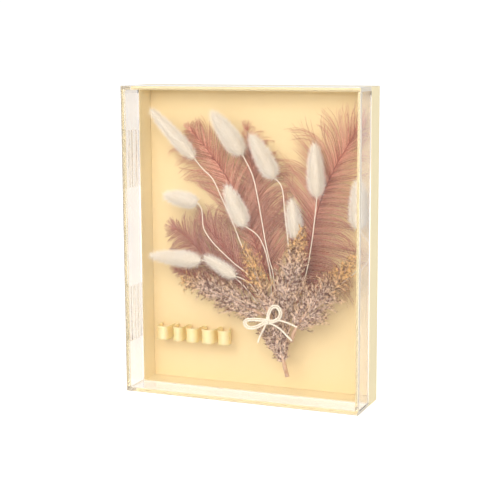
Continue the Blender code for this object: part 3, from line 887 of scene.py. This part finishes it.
def side_barbs_into(strands, shaft, spec, side, rows, step, draw):
    """Barbs down one side of a shaft, in locks that lean as one and in bundles of one
    tone."""
    s, end = 0.0, rows[-1][0]
    while s < end:
        width = step * draw.uniform(5.0, 12.0)
        lean = {"middle": s + width / 2, "length": draw.uniform(0.88, 1.06),
                "angle": draw.uniform(-1, 1), "curl": draw.uniform(-4, 4),
                "hook": draw.uniform(-16, 22), "lift": draw.uniform(-0.45, 0.35)}
        stop = min(s + width, end)
        bundle = 0
        while s < stop:
            if bundle == 0:
                bundle = draw.randint(2, 4)
                tone = draw.choice(BUNDLE_TONES)
            bundle -= 1
            route = barb_route(shaft, read_table(rows, s), side, s, lean, draw,
                               spec["lane"])
            # The shade value paints shade on barbs nearer a feather's foot
            strands.add(route, BARB_SIZES, tone + draw.uniform(0.0, 0.2),
                        spec["foot_shade"] * max(0.0, s - FOOT_SHADE_FROM) / (1.0 - FOOT_SHADE_FROM))
            crowd = max(1.0 - spec["foot_crowd"] * s,
                        spec["sparse"] * (1.0 - s / SPARSE_TO))
            s += step * crowd * draw.uniform(0.7, 1.3)


def tip_barbs_into(strands, shaft, spec, draw):
    """Barbs that fan out from the shaft's end, from its left side to its right."""
    crown = -heading(shaft, 0)
    left, right = [read_table(spec[key], 0.0) for key in ("left_side", "right_side")]
    for k in range(spec["tip"]):
        share = k / (spec["tip"] - 1)
        length = (left[0] + (right[0] - left[0]) * share) * draw.uniform(0.85, 1.1)
        angle = left[1] - (left[1] + right[1]) * share + draw.uniform(-3, 3)
        curl = draw.uniform(-8, 8)
        route = []
        for i in range(BARB_STEPS + 1):
            u = i / BARB_STEPS
            turn = math.radians(angle + curl * u)
            way = Vector((crown[0] * math.cos(turn) - crown[1] * math.sin(turn),
                          crown[0] * math.sin(turn) + crown[1] * math.cos(turn)))
            flat = shaft[0] + way * (length * u)
            route.append(place(flat[0], spec["lane"] - 0.3 * u, flat[1]))
        strands.add(route, BARB_SIZES, draw.random())


def build_feather(key, spec, settings, tree, barbule, finishes, seed):
    """One feather: barbs and barbules grown on strands, and its shaft."""
    draw = random.Random(seed)
    shaft = smooth_route(spec["shaft"], SHAFT_POINTS)
    step = settings.barb_step / MM / distances(shaft)[-1]
    strands = Strands()
    for side, rows in ((1, spec["left_side"]), (-1, spec["right_side"])):
        side_barbs_into(strands, shaft, spec, side, rows, step, draw)
    tip_barbs_into(strands, shaft, spec, draw)
    values = {
        "Stem Radius": settings.barb_radius,
        "Stem Sides": 3,
        "Sprig": barbule,
        "Spacing": settings.barbule_step,
        "Sprig Length": settings.barbule,
        "Sprig Width": settings.barbule_width,
        "Spread": 0.6,
        "Depth Spread": 0.3,
        "Tip Size": 0.2,
        "Seed": seed,
        "Stem Material": finishes[spec["dye"] + " barb"],
        "Sprig Material": finishes[spec["dye"]],
    }
    vanes = grown(strands.as_object("strands"), tree, values, "vanes")
    bm = bmesh.new()
    last = len(shaft) - 1
    tube_into(bm, [place(p[0], spec["lane"] - 0.35, p[1]) for p in shaft],
              [(0.12 + 0.78 * i / last) * MM for i in range(last + 1)], 8)
    quill = mesh_from(bm, "quill", finishes["quill"])
    finish_piece("feather_" + key, [vanes, quill], spec["slot"])


class FLOWERFRAME_OT_feathers(bpy.types.Operator):
    """Grow the barbs and barbules of the six dyed feathers"""

    bl_idname = "flowerframe.feathers"
    bl_label = "Feathers"

    def execute(self, context):
        settings = context.scene.flowerframe_feathers
        dark, rib = settings.mauve_dark, settings.rib
        dyes = {
            "rose": ("rose dyed feather", settings.rose_dark, settings.rose,
                     settings.rose_light, 1.2),
            "mauve": ("mauve dyed feather", dark, settings.mauve,
                      settings.mauve_light, 0.9),
            # Umber: darker dyes, partly the low feather's own colour and partly painted
            # shade
            "umber": ("umber dyed feather", dark, settings.rose_dark,
                      settings.mauve_light, 1.0),
            "rose barb": ("rose dyed barb rib", rib, settings.rose_dark,
                          settings.rose_dark, 0.5),
            "mauve barb": ("mauve dyed barb rib", dark, rib, rib, 0.5),
            "umber barb": ("umber dyed barb rib", dark, rib, rib, 0.5),
        }
        # settings.foot is the painted shade colour for barbs near the feathers' feet
        finishes = {key: barb_finish(*dye[:4], settings.foot, dye[4])
                    for key, dye in dyes.items()}
        finishes["quill"] = quill_finish("feather quill", settings.quill,
                                         settings.rose_dark)
        tree = fringe_tree()
        barbule = spike_object(3)
        for number, (key, spec) in enumerate(FEATHERS.items()):
            build_feather(key, spec, settings, tree, barbule, finishes,
                          FEATHER_SEED + number)
        bpy.data.objects.remove(barbule)
        return {"FINISHED"}


# Bunny tails
#
# The head's profile is (place from tip to base, share of the widest radius). Head: tip
# and base as (x, depth, z), with its widest radius. Stem: points on from the base.


HEAD_PROFILE = ((0.0, 0.06), (0.05, 0.24), (0.12, 0.42), (0.25, 0.66), (0.4, 0.84),
                (0.55, 0.95), (0.7, 1.0), (0.8, 0.97), (0.88, 0.83), (0.94, 0.6),
                (1.0, 0.22))

TAILS = {
    1: {"tip": (-88, 28, 231), "base": (-50, 31.5, 191), "radius": 5.8,
        "stem": [(-43, 32.4, 182.5), (-35, 33.4, 175), (-26.5, 33.4, 158.5),
                 (-17.5, 33.4, 140), (-10, 33.4, 122), (-4, 33.4, 110.5),
                 (5, 33.4, 92), (13.2, 33.4, 74)]},
    2: {"tip": (-33, 28, 229.5), "base": (-8, 31.5, 195.5), "radius": 7.6,
        "stem": [(-3.4, 32.6, 186.5), (1, 33.4, 176), (5.5, 33.4, 155.5),
                 (10.5, 33.4, 128), (13.7, 33.4, 113), (18, 33.4, 97.5),
                 (18.6, 33.4, 74)]},
    3: {"tip": (0.5, 28, 212), "base": (19.5, 31.5, 177.5), "radius": 7.2,
        "stem": [(24.5, 32.8, 172), (26.4, 33.4, 163), (27.4, 33.4, 151.5),
                 (30.2, 33.4, 127), (31, 33.4, 110), (26.5, 33.4, 90),
                 (21.3, 33.4, 74)]},
    4: {"tip": (54, 28, 206), "base": (55, 31.5, 164), "radius": 6.5,
        "stem": [(54, 32.8, 157), (52.5, 33.4, 144.5), (50, 33.4, 126),
                 (46.5, 33.4, 106), (41, 33.4, 88), (33, 33.4, 74)]},
    5: {"tip": (33, 33.6, 161), "base": (37.5, 33.9, 129), "radius": 6.3,
        "stem": [(38.5, 33.6, 122), (38, 33.4, 111), (35, 33.4, 97),
                 (29.5, 33.4, 85), (25, 33.4, 74)]},
    6: {"tip": (-77, 29, 160.5), "base": (-47.5, 30, 155.5), "radius": 6.6,
        "stem": [(-44.2, 31, 151), (-43.8, 32.4, 143), (-44, 33.2, 137),
                 (-41.5, 33.4, 130.5), (-33, 33.4, 120.5), (-17, 33.4, 107),
                 (-3, 33.4, 96.5), (10.4, 33.4, 74)]},
    7: {"tip": (-20, 26.5, 170.5), "base": (-5, 28, 138.5), "radius": 7.1,
        "stem": [(0, 30, 135.2), (6, 32, 129.5), (10.2, 33.3, 120),
                 (12.4, 33.4, 112), (15.6, 33.4, 96), (15.9, 33.4, 74)]},
    8: {"tip": (-89, 25.2, 110), "base": (-43, 26.4, 108.6), "radius": 6.3,
        "stem": [(-40, 28, 108), (-36, 31.6, 106.5), (-31, 33.4, 103.5),
                 (-20, 33.4, 97.5), (-8, 33.4, 88.5), (4.8, 33.4, 74)]},
    9: {"tip": (-40.5, 26.4, 112.5), "base": (-13, 27.8, 97), "radius": 5.3,
        "stem": [(-9.5, 29.5, 95.8), (-5, 31.6, 93), (0.5, 33, 87.5),
                 (7.6, 33.4, 74)]},
    10: {"tip": (88.5, 30.5, 178.5), "base": (88.2, 32, 140.5), "radius": 6.3,
         "stem": [(89.4, 34, 135.5), (92.5, 37, 131), (94.6, 38.4, 123),
                  (92.5, 38.6, 114), (84, 38.6, 104), (70, 38.6, 92),
                  (54, 37.4, 81), (42, 36.4, 74)]},
}


TAIL_SEED = 200
HEAD_RINGS = 26
HEAD_SIDES = 20
HEAD_CORE = 0.48
STEM_SIDES = 8


class TailSettings(bpy.types.PropertyGroup):
    colour: colour_setting("Head", "Bleached grass head", "#FFFDF8")
    shadow: colour_setting("Head, deep", "Between the hairs", "#F8ECD8")
    stem: colour_setting("Stem", "Bleached stem", "#FFEEDC")
    hair_length: length_setting("Hair length", "Length of the head's hairs", 4.6)
    hair_width: length_setting("Hair width", "Width of a hair at its foot", 0.17)
    stem_radius: length_setting("Stem radius", "Half the stem's thickness", 0.45)
    hairs: number_setting("Hairs", "Hairs on each square millimetre of the head", 4.6,
                          min=0.1)


def build_tail(number, spec, settings, tree, hair, finishes):
    """One bunny tail: a head under its hairs, slimmer by what they add, and its stem."""
    tip, base, radius = Vector(spec["tip"]), Vector(spec["base"]), spec["radius"]
    shrink = (radius - settings.hair_length / MM * HEAD_CORE) / radius
    centres = []
    radii = []
    for i in range(HEAD_RINGS):
        s = i / (HEAD_RINGS - 1)
        centres.append(place(*tip.lerp(base, 0.03 + 0.96 * s)))
        radii.append(max(radius * read_table(HEAD_PROFILE, s)[0] * shrink, 0.35) * MM)
    bm = bmesh.new()
    tube_into(bm, centres, radii, HEAD_SIDES)
    body = mesh_from(bm, "head", finishes["head"])
    values = {
        "Hair": hair,
        "Density": settings.hairs / MM ** 2,
        "Hair Length": settings.hair_length,
        "Hair Width": settings.hair_width,
        "Lean": (place(*tip) - place(*base)).normalized() * 0.65,
        "Ruffle": 0.5,
        "Seed": random.Random(TAIL_SEED + number).randint(1, 9999),
        "Body Material": finishes["head"],
        "Hair Material": finishes["hair"],
    }
    head = grown(scratch_object("head", body), tree, values, "furred head")
    stem = smooth_route([base, *spec["stem"]], len(spec["stem"]) * 4)
    bm = bmesh.new()
    tube_into(bm, [place(*p) for p in stem], [settings.stem_radius] * len(stem),
              STEM_SIDES)
    stalk = mesh_from(bm, "stalk", finishes["stem"])
    finish_piece("bunny_tail_%02d" % number, [head, stalk], "bunny_tail")


class FLOWERFRAME_OT_tails(bpy.types.Operator):
    """Grow the hairs of the ten bunny tails and lay their stems"""

    bl_idname = "flowerframe.tails"
    bl_label = "Bunny tails"

    def execute(self, context):
        settings = context.scene.flowerframe_tails
        finishes = {
            "head": plain_grown_finish("bleached grass head", settings.shadow,
                                       settings.colour, 300.0, 0.9, 0.3),
            "hair": plain_grown_finish("bleached grass hair", settings.shadow,
                                       settings.colour, 60.0, 0.8, 0.4),
            "stem": plain_grown_finish("bleached grass stem", settings.shadow,
                                       settings.stem, 90.0, 0.5),
        }
        tree = fur_tree()
        hair = spike_object(3)
        for number, spec in TAILS.items():
            build_tail(number, spec, settings, tree, hair, finishes)
        bpy.data.objects.remove(hair)
        return {"FINISHED"}


# Reed plumes
#
# Axis rows are (x, z, body radius, branch length) from the tip to the root, depths
# those of the tip and of the root, and gold is how far down from the tip the golden
# colour goes. The stalk runs on from the root. Each branch is golder at its own tip,
# by TIP_GOLD.


PLUMES = {
    "left_fan": {
        "depths": (29.5, 29.5), "gold": 0.3, "branches": 250, "slot": "reed_mauve",
        "axis": [(-61, 90, 0.8, 6), (-50, 88, 3.2, 10), (-36, 84, 5.2, 13),
                 (-20, 78.5, 6.8, 14), (-5, 72.5, 7.2, 14), (8, 67.5, 6.4, 13)],
        "stalk": [(11, 66.4)],
    },
    "centre_left": {
        "depths": (23.9, 23.9), "gold": 0.85, "branches": 130, "slot": "reed_gold",
        "axis": [(-4, 124, 0.5, 4), (0, 116, 1.8, 7), (5, 106, 3.0, 9),
                 (9, 96, 3.8, 11), (13, 85, 4.4, 12), (15.8, 75, 4.6, 11),
                 (17.5, 68, 4.6, 10)],
        "stalk": [(18.3, 64)],
    },
    "centre": {
        "depths": (23.9, 29.5), "gold": 0.45, "branches": 300, "slot": "reed_mauve",
        "axis": [(45.5, 139.5, 0.5, 4), (42, 128, 2.4, 7), (38, 114, 4.6, 10),
                 (34, 100, 7.0, 13), (31, 85, 8.8, 14), (28.8, 72, 9.6, 14),
                 (27.5, 62, 9.4, 12)],
        "stalk": [(26.5, 58)],
    },
    "right": {
        "depths": (23.9, 23.9), "gold": 0.6, "branches": 260, "slot": "reed_gold",
        "axis": [(90, 121, 0.6, 3), (83, 110.5, 3.2, 8), (73, 98.5, 5.0, 11),
                 (60, 84, 7.0, 14), (47, 69, 8.4, 15), (40.5, 59.5, 6.0, 12)],
        "stalk": [(39.2, 57), (36.5, 48)],
    },
    "lower": {
        "depths": (27.4, 27.4), "gold": 0.0, "branches": 250, "slot": "reed_mauve",
        "axis": [(20.5, 62, 9.0, 7), (21.3, 56, 12.0, 9), (22.6, 49, 11.4, 11),
                 (25, 41, 8.8, 11), (27.4, 34.5, 5.0, 8), (28.8, 30, 2.4, 5)],
        "stalk": [(29.6, 26.5), (32, 18)],
    },
}


PLUME_SEED = 51
AXIS_POINTS = 40
BRANCH_POINTS = 8
STALK_SIDES = 10
TIP_GOLD = 0.55


class PlumeSettings(bpy.types.PropertyGroup):
    mauve_dark: colour_setting("Mauve, dark", "Deep in the plume", "#74402E")
    mauve_light: colour_setting("Mauve, light", "Outer spikelets", "#FFE6D4")
    gold_dark: colour_setting("Gold, dark", "Older golden spikelets", "#7E4A1A")
    gold_light: colour_setting("Gold, light", "Fresh golden spikelets", "#FACC84")
    stalk: colour_setting("Stalk", "Cut stalks", "#C4956E")
    spikelet: length_setting("Spikelet length", "Length of a spikelet", 3.4)
    spikelet_width: length_setting("Spikelet width", "Width of a spikelet", 0.45)
    spacing: length_setting("Spikelet spacing", "Distance between spikelets", 0.6)
    stalk_radius: length_setting("Stalk radius", "Half the stalk's thickness", 1.7)


def build_plume(key, spec, settings, tree, spikelet, finishes, seed):
    """One reed plume: branches with spikelets grown on strands, and its stalk."""
    draw = random.Random(seed)
    rows = spec["axis"]
    last = AXIS_POINTS - 1
    axis = smooth_route([row[:2] for row in rows], AXIS_POINTS)
    table = [(i / (len(rows) - 1), *row[2:]) for i, row in enumerate(rows)]
    tip_depth, root_depth = spec["depths"]
    strands = Strands()
    for n in range(spec["branches"]):
        s = ((n + draw.uniform(0.0, 0.8)) / spec["branches"]) ** 0.7
        k = min(int(s * last), last - 1)
        radius, reach = read_table(table, s)
        root = axis[k].lerp(axis[k + 1], s * last - k)
        along = (axis[max(k - 1, 0)] - axis[min(k + 2, last)]).normalized()
        across = Vector((-along[1], along[0])) * (1 if n % 2 else -1)
        root = root + across * (radius * draw.uniform(-0.35, 0.85))
        length = (0.3 * radius + reach) * draw.uniform(0.35, 1.0)
        angle = draw.uniform(-6, 52)
        droop = draw.uniform(-16, 24)
        depth = tip_depth + (root_depth - tip_depth) * s
        depth += 0.3 * radius * draw.uniform(-1.0, 1.0)
        push = draw.uniform(-0.22, 0.22) * length
        gold = min(1.0, max(0.0, (spec["gold"] - s) * 3.0 + draw.uniform(-0.2, 0.2)))
        route = []
        for i in range(BRANCH_POINTS):
            u = i / (BRANCH_POINTS - 1)
            bend = math.radians(angle + droop * u)
            flat = root + (along * math.cos(bend) + across * math.sin(bend)) * length * u
            route.append(place(flat[0], depth + push * u, flat[1]))
        strands.add(route, [1.0 - 0.09 * i for i in range(BRANCH_POINTS)],
                    draw.random(), gold, TIP_GOLD)
    values = {
        "Stem Radius": 0.22 * MM,
        "Stem Sides": 3,
        "Sprig": spikelet,
        "Spacing": settings.spacing,
        "Sprig Length": settings.spikelet,
        "Sprig Width": settings.spikelet_width,
        "Spread": 0.62,
        "Depth Spread": 0.55,
        "Tip Size": 0.8,
        "Seed": seed,
        "Stem Material": finishes["reed"],
        "Sprig Material": finishes["reed"],
    }
    sprays = grown(strands.as_object("strands"), tree, values, "sprays")
    stalk = [place(p[0], tip_depth + (root_depth - tip_depth) * i / last, p[1])
             for i, p in enumerate(axis)]
    stalk += [place(x, root_depth, z) for x, z in spec["stalk"]]
    radii = [(0.3 + 1.1 * (i / last) ** 2) * MM for i in range(AXIS_POINTS)]
    radii += [settings.stalk_radius] * len(spec["stalk"])
    bm = bmesh.new()
    tube_into(bm, stalk, radii, STALK_SIDES)
    core = mesh_from(bm, "stalk", finishes["stalk"])
    finish_piece("reed_plume_" + key, [sprays, core], spec["slot"])


class FLOWERFRAME_OT_plumes(bpy.types.Operator):
    """Grow the five reed plumes with their branches and spikelets"""

    bl_idname = "flowerframe.plumes"
    bl_label = "Reed plumes"

    def execute(self, context):
        settings = context.scene.flowerframe_plumes
        finishes = {
            "reed": reed_finish("dried reed spikelets", settings),
            "stalk": plain_grown_finish("dried reed stalk", settings.stalk,
                                        settings.mauve_light, 200.0, 0.7),
        }
        tree = fringe_tree()
        spikelet = spike_object(4, 0.3)
        for number, (key, spec) in enumerate(PLUMES.items()):
            build_plume(key, spec, settings, tree, spikelet, finishes,
                        PLUME_SEED + number)
        bpy.data.objects.remove(spikelet)
        return {"FINISHED"}


# Bow: each strand's depth forward of the knot, and its points as (x, z). Each loop
# is drawn as two strands, each (distance beside the loop's line, depth behind it).


BOW_DEPTH = 20.5
KNOT = (17.5, 63.8)
LOOPS = (
    (0.25, [(17.8, 64.5), (18.8, 70.5), (21.8, 75.6), (26.2, 76),
            (28.8, 71.6), (27.2, 66.8), (22.5, 64.2)]),
    (-0.2, [(17, 64.2), (9, 64.4), (0.5, 63.6), (-2.2, 60.8),
            (0.5, 57.4), (6.5, 57.8), (12.5, 60.8)]),
)
LOOP_STRANDS = ((-0.8, 0.0), (0.8, 0.35))
BOW_TAILS = (
    (0.45, [(17, 63), (14.4, 57), (11, 50.5), (9.6, 45.8)]),
    (0.1, [(18, 62.5), (22.5, 61.4), (29, 58), (34, 53.6), (38.4, 49.7)]),
    (-0.5, [(18.5, 63.6), (27.7, 65), (35, 63.6), (42.3, 61)]),
)
LOOP_POINTS = 110
TAIL_POINTS = 60
WRAP_POINTS = 40
WRAPS = (-1.1, 0.0, 1.1)
PLY_SIDES = 7
PLY_RADIUS = 0.62
PLY_SWING = 0.38


class BowSettings(bpy.types.PropertyGroup):
    colour: colour_setting("Twine", "Cream cotton", "#FFFDF6")
    shade: colour_setting("Twine, deep", "Between the plies", "#F6EBD4")
    strand: length_setting("Strand radius", "Half the twine's thickness", 0.82)
    pitch: length_setting("Twist", "Length of one full turn of the plies", 3.4)


def twine_into(bm, route, settings):
    """Two plies twisted round a route."""
    ply = settings.strand * PLY_RADIUS
    swing = settings.strand * PLY_SWING
    travelled = distances(route)
    for start in (0.0, math.pi):
        centres = []
        for i, spot in enumerate(route):
            across = heading(route, i).cross(BACKWARD).normalized()
            angle = start + 2 * math.pi * travelled[i] / settings.pitch
            centres.append(spot + across * math.cos(angle) * swing
                           + BACKWARD * math.sin(angle) * swing)
        tube_into(bm, centres, [ply] * len(centres), PLY_SIDES)


def strand_beside(ring, distance, sink):
    """A route beside a ring in the plane of the bow, and sunk behind it."""
    moved = []
    for i, spot in enumerate(ring):
        along = (ring[(i + 1) % len(ring)] - ring[i - 1]).normalized()
        across = along.cross(BACKWARD).normalized()
        moved.append(spot + across * (distance * MM) + BACKWARD * (sink * MM))
    return moved


class FLOWERFRAME_OT_bow(bpy.types.Operator):
    """Tie the bow of doubled twine"""

    bl_idname = "flowerframe.bow"
    bl_label = "Twine bow"

    def execute(self, context):
        settings = context.scene.flowerframe_bow
        finish = plain_grown_finish("twisted cotton twine", settings.shade,
                                    settings.colour, 700.0, 0.9, 0.2)
        bm = bmesh.new()
        for lift, spots in LOOPS:
            ring = [place(x, BOW_DEPTH - lift, z) for x, z in spots]
            ring = smooth_route(ring + [ring[0]], LOOP_POINTS)[:-1]
            for distance, sink in LOOP_STRANDS:
                twine_into(bm, strand_beside(ring, distance, sink), settings)
        for lift, spots in BOW_TAILS:
            path = [place(x, BOW_DEPTH - lift, z) for x, z in spots]
            twine_into(bm, smooth_route(path, TAIL_POINTS), settings)
        for shift in WRAPS:
            wrap = []
            for i in range(WRAP_POINTS):
                angle = 2 * math.pi * i / WRAP_POINTS
                wrap.append(place(KNOT[0] + shift + 0.5 * math.sin(angle),
                                  BOW_DEPTH - 1.2 * math.cos(angle),
                                  KNOT[1] + 2.3 * math.sin(angle)))
            twine_into(bm, wrap, settings)
        finish_piece("twine_bow", [mesh_from(bm, "bow", finish)], "cotton_twine")
        return {"FINISHED"}


# Ribbon: each loop as its left and right edge at the front


RIBBON_LOOPS = ((-87.0, -76.8), (-72.0, -63.6), (-60.2, -50.2), (-46.2, -35.2),
                (-31.4, -21.4))
RIBBON_BACK = 46.35
RIBBON_REACH = 16.5
RIBBON_CROWN = 4.8
RIBBON_BEND = 2.4
RIBBON_BOTTOM = 38.0
RIBBON_WIDTH = 12.0
RIBBON_CUP = 0.25
RIBBON_POINTS = 260
RIBBON_STEPS = 8


class RibbonSettings(bpy.types.PropertyGroup):
    colour: colour_setting("Satin", "Cream satin", "#FCE2A2")
    thickness: length_setting("Thickness", "Thickness of the ribbon", 0.35)


def ribbon_route():
    """The ribbon's middle line seen from above, as (x, depth), left to right. Each
    loop's foot runs on to the next loop, and the last one turns in under its own."""
    front = RIBBON_BACK - RIBBON_REACH
    path = []
    for left, right in RIBBON_LOOPS:
        feet = (-2.6, -5.5) if (left, right) == RIBBON_LOOPS[-1] else (0.2, 1.4)
        path.append((left - 1.6, RIBBON_BACK))
        path.append((left - 0.4, RIBBON_BACK - RIBBON_BEND))
        for step in range(7):
            turn = math.pi * (1 - step / 6)
            path.append(((left + right) / 2 + (right - left) / 2 * math.cos(turn),
                         front + RIBBON_CROWN * (1 - math.sin(turn))))
        path.append((right + feet[0], RIBBON_BACK - RIBBON_BEND))
        path.append((right + feet[1], RIBBON_BACK))
    return path


class FLOWERFRAME_OT_ribbon(bpy.types.Operator):
    """Fold the satin ribbon into its five loops"""

    bl_idname = "flowerframe.ribbon"
    bl_label = "Ribbon loops"

    def execute(self, context):
        settings = context.scene.flowerframe_ribbon
        path = smooth_route(ribbon_route(), RIBBON_POINTS)
        travelled = distances(path)
        half = settings.thickness / MM / 2
        bm = bmesh.new()
        weave = bm.loops.layers.uv.new("weave")
        grid = []
        for i, spot in enumerate(path):
            along = heading(path, i)
            column = []
            for k in range(RIBBON_STEPS + 1):
                t = k / RIBBON_STEPS
                cup = RIBBON_CUP * math.sin(math.pi * t)
                column.append([bm.verts.new(place(spot[0] - along[1] * (side + cup),
                                                  spot[1] + along[0] * (side + cup),
                                                  RIBBON_BOTTOM + RIBBON_WIDTH * t))
                               for side in (half, -half)])
            grid.append(column)

        def add_face(*corners):
            """A face between corners, each (step along, step across, side)."""
            face = bm.faces.new([grid[i][k][side] for i, k, side in corners])
            face.smooth = True
            for loop, (i, k, _) in zip(face.loops, corners):
                loop[weave].uv = (travelled[i] / RIBBON_WIDTH, k / RIBBON_STEPS)

        end, top = RIBBON_POINTS - 1, RIBBON_STEPS
        for i in range(end):
            for k in range(top):
                for side in (0, 1):
                    add_face((i, k, side), (i + 1, k, side), (i + 1, k + 1, side),
                             (i, k + 1, side))
            for k in (0, top):
                add_face((i, k, 0), (i + 1, k, 0), (i + 1, k, 1), (i, k, 1))
        for i in (0, end):
            for k in range(top):
                add_face((i, k, 0), (i, k + 1, 0), (i, k + 1, 1), (i, k, 1))
        mesh = mesh_from(bm, "ribbon", satin_finish(settings))
        piece = finish_piece("ribbon_loops", [mesh], "satin_ribbon")
        return {"FINISHED"}


# Stage, in metres. Each lamp is its name, its width and height, and its place. The
# camera's turns are degrees about its own axes, first to last: a pan, the tilt up from
# straight down, and a roll. Behind is the way that the photo's camera looks.


LAMPS = (("key", (1.8, 1.0), (0.0, -1.5, 1.0)), ("fill", (1.0, 1.0), (1.0, -1.2, 0.6)))
LAMP_TARGET = (0.0, 0.0, BOX_HEIGHT / 2 * MM)
FLOOR_HALF = 6.0
FLOOR_GAP = 0.0005
BEHIND = (-0.5, 0.86, 0.0)
SENSOR = 36.0
CAMERA_SPOT = (0.3855, -0.9283, 0.2813)
CAMERA_TURNS = ((22.507, "Z"), (90 - 9.131, "X"), (-0.291, "Z"))


class StageSettings(bpy.types.PropertyGroup):
    focal: number_setting("Focal length", "Camera focal length on a 36 mm sensor", 91.7,
                          min=10.0)
    floor: colour_setting("Floor", "Pale studio floor", "#FCFCFC")
    backlight: share_setting("Backlight", "Glow of the lit floor", 0.5)
    sky: share_setting("Surround", "Strength of the white behind the frame", 1.05)
    room: share_setting("Room", "Strength of the room before the frame", 0.55)
    room_low: share_setting("Room, low", "Strength of its lower part", 0.2)
    key: number_setting("Key light", "Key light power", 16.0, min=0.0)
    fill: number_setting("Fill light", "Fill light power", 3.0, min=0.0)


def white_surround(settings):
    """A dim room before the frame, dimmer low down, and white behind it."""
    world = bpy.data.worlds.new("white surround")
    world.use_nodes = True
    tree = world.node_tree
    add = partial(add_node, tree)
    spot = add("ShaderNodeTexCoord").outputs["Generated"]
    split = add("ShaderNodeSeparateXYZ", {0: spot})
    front = add("ShaderNodeMapRange",
                {0: split.outputs["Z"], 1: -0.05, 2: 0.15, 3: settings.room_low,
                 4: settings.room}, interpolation_type="SMOOTHSTEP")
    turn = add("ShaderNodeVectorMath", {0: spot, 1: BEHIND}, operation="DOT_PRODUCT")
    glow = add("ShaderNodeMapRange",
               {0: turn.outputs["Value"], 1: 0.4, 2: 0.85, 3: front, 4: settings.sky},
               interpolation_type="SMOOTHSTEP")
    feed(tree, tree.nodes["Background"], {"Color": WHITE, "Strength": glow})
    return world


def add_area(name, power, size, spot):
    """A rectangular lamp aimed at the middle of the frame."""
    lamp = bpy.data.lights.new(name, "AREA")
    lamp.shape = "RECTANGLE"
    lamp.energy = power
    lamp.size, lamp.size_y = size
    made = scratch_object(name, lamp)
    made.location = spot
    aim = Vector(LAMP_TARGET) - Vector(spot)
    made.rotation_euler = aim.to_track_quat("-Z", "Y").to_euler()


class FLOWERFRAME_OT_stage(bpy.types.Operator):
    """Lay the pale floor and set the lights and the camera"""

    bl_idname = "flowerframe.stage"
    bl_label = "Stage"

    def execute(self, context):
        settings = context.scene.flowerframe_stage
        scene = context.scene
        bm = bmesh.new()
        bmesh.ops.create_grid(bm, x_segments=8, y_segments=8, size=FLOOR_HALF)
        finish, tree, shader = new_finish("matt white studio sweep")
        feed(tree, shader, {"Base Color": settings.floor, "Roughness": 0.9,
                            "Emission Color": WHITE,
                            "Emission Strength": settings.backlight})
        floor = scratch_object("studio_floor", mesh_from(bm, "floor", finish))
        floor.location.z = -FLOOR_GAP
        floor.visible_glossy = False

        scene.world = white_surround(settings)
        for name, size, spot in LAMPS:
            add_area(name, getattr(settings, name), size, spot)

        lens = bpy.data.cameras.new("camera")
        lens.sensor_width = SENSOR
        lens.lens = settings.focal
        camera = scratch_object("camera", lens)
        pan, tilt, roll = [Matrix.Rotation(math.radians(angle), 4, axis)
                           for angle, axis in CAMERA_TURNS]
        camera.matrix_world = Matrix.Translation(CAMERA_SPOT) @ (pan @ tilt @ roll)
        scene.camera = camera
        scene.view_settings.view_transform = "Standard"
        return {"FINISHED"}


# Add-on


STEPS = (
    ("flowerframe_stage", StageSettings, FLOWERFRAME_OT_stage),
    ("flowerframe_box", BoxSettings, FLOWERFRAME_OT_box),
    ("flowerframe_feathers", FeatherSettings, FLOWERFRAME_OT_feathers),
    ("flowerframe_tails", TailSettings, FLOWERFRAME_OT_tails),
    ("flowerframe_plumes", PlumeSettings, FLOWERFRAME_OT_plumes),
    ("flowerframe_bow", BowSettings, FLOWERFRAME_OT_bow),
    ("flowerframe_ribbon", RibbonSettings, FLOWERFRAME_OT_ribbon),
)


class FLOWERFRAME_PT_panel(bpy.types.Panel):
    """The flower frame's steps in the sidebar"""

    bl_label = "Flower Frame"
    bl_idname = "FLOWERFRAME_PT_panel"
    bl_space_type = "VIEW_3D"
    bl_region_type = "UI"
    bl_category = "Flower Frame"

    def draw(self, context):
        for name, _, operator in STEPS:
            box = self.layout.box()
            box.operator(operator.bl_idname, text=operator.bl_label)
            settings = getattr(context.scene, name)
            for key in settings.bl_rna.properties.keys():
                if key not in {"rna_type", "name"}:
                    box.prop(settings, key)


def register():
    for name, group, operator in STEPS:
        bpy.utils.register_class(group)
        setattr(bpy.types.Scene, name, bpy.props.PointerProperty(type=group))
        bpy.utils.register_class(operator)
    bpy.utils.register_class(FLOWERFRAME_PT_panel)


def unregister():
    bpy.utils.unregister_class(FLOWERFRAME_PT_panel)
    for name, group, operator in reversed(STEPS):
        bpy.utils.unregister_class(operator)
        delattr(bpy.types.Scene, name)
        bpy.utils.unregister_class(group)


def main():
    register()
    bpy.ops.flowerframe.stage()
    bpy.ops.flowerframe.box()
    bpy.ops.flowerframe.feathers()
    bpy.ops.flowerframe.tails()
    bpy.ops.flowerframe.plumes()
    bpy.ops.flowerframe.bow()
    bpy.ops.flowerframe.ribbon()


if __name__ == "__main__":
    main()
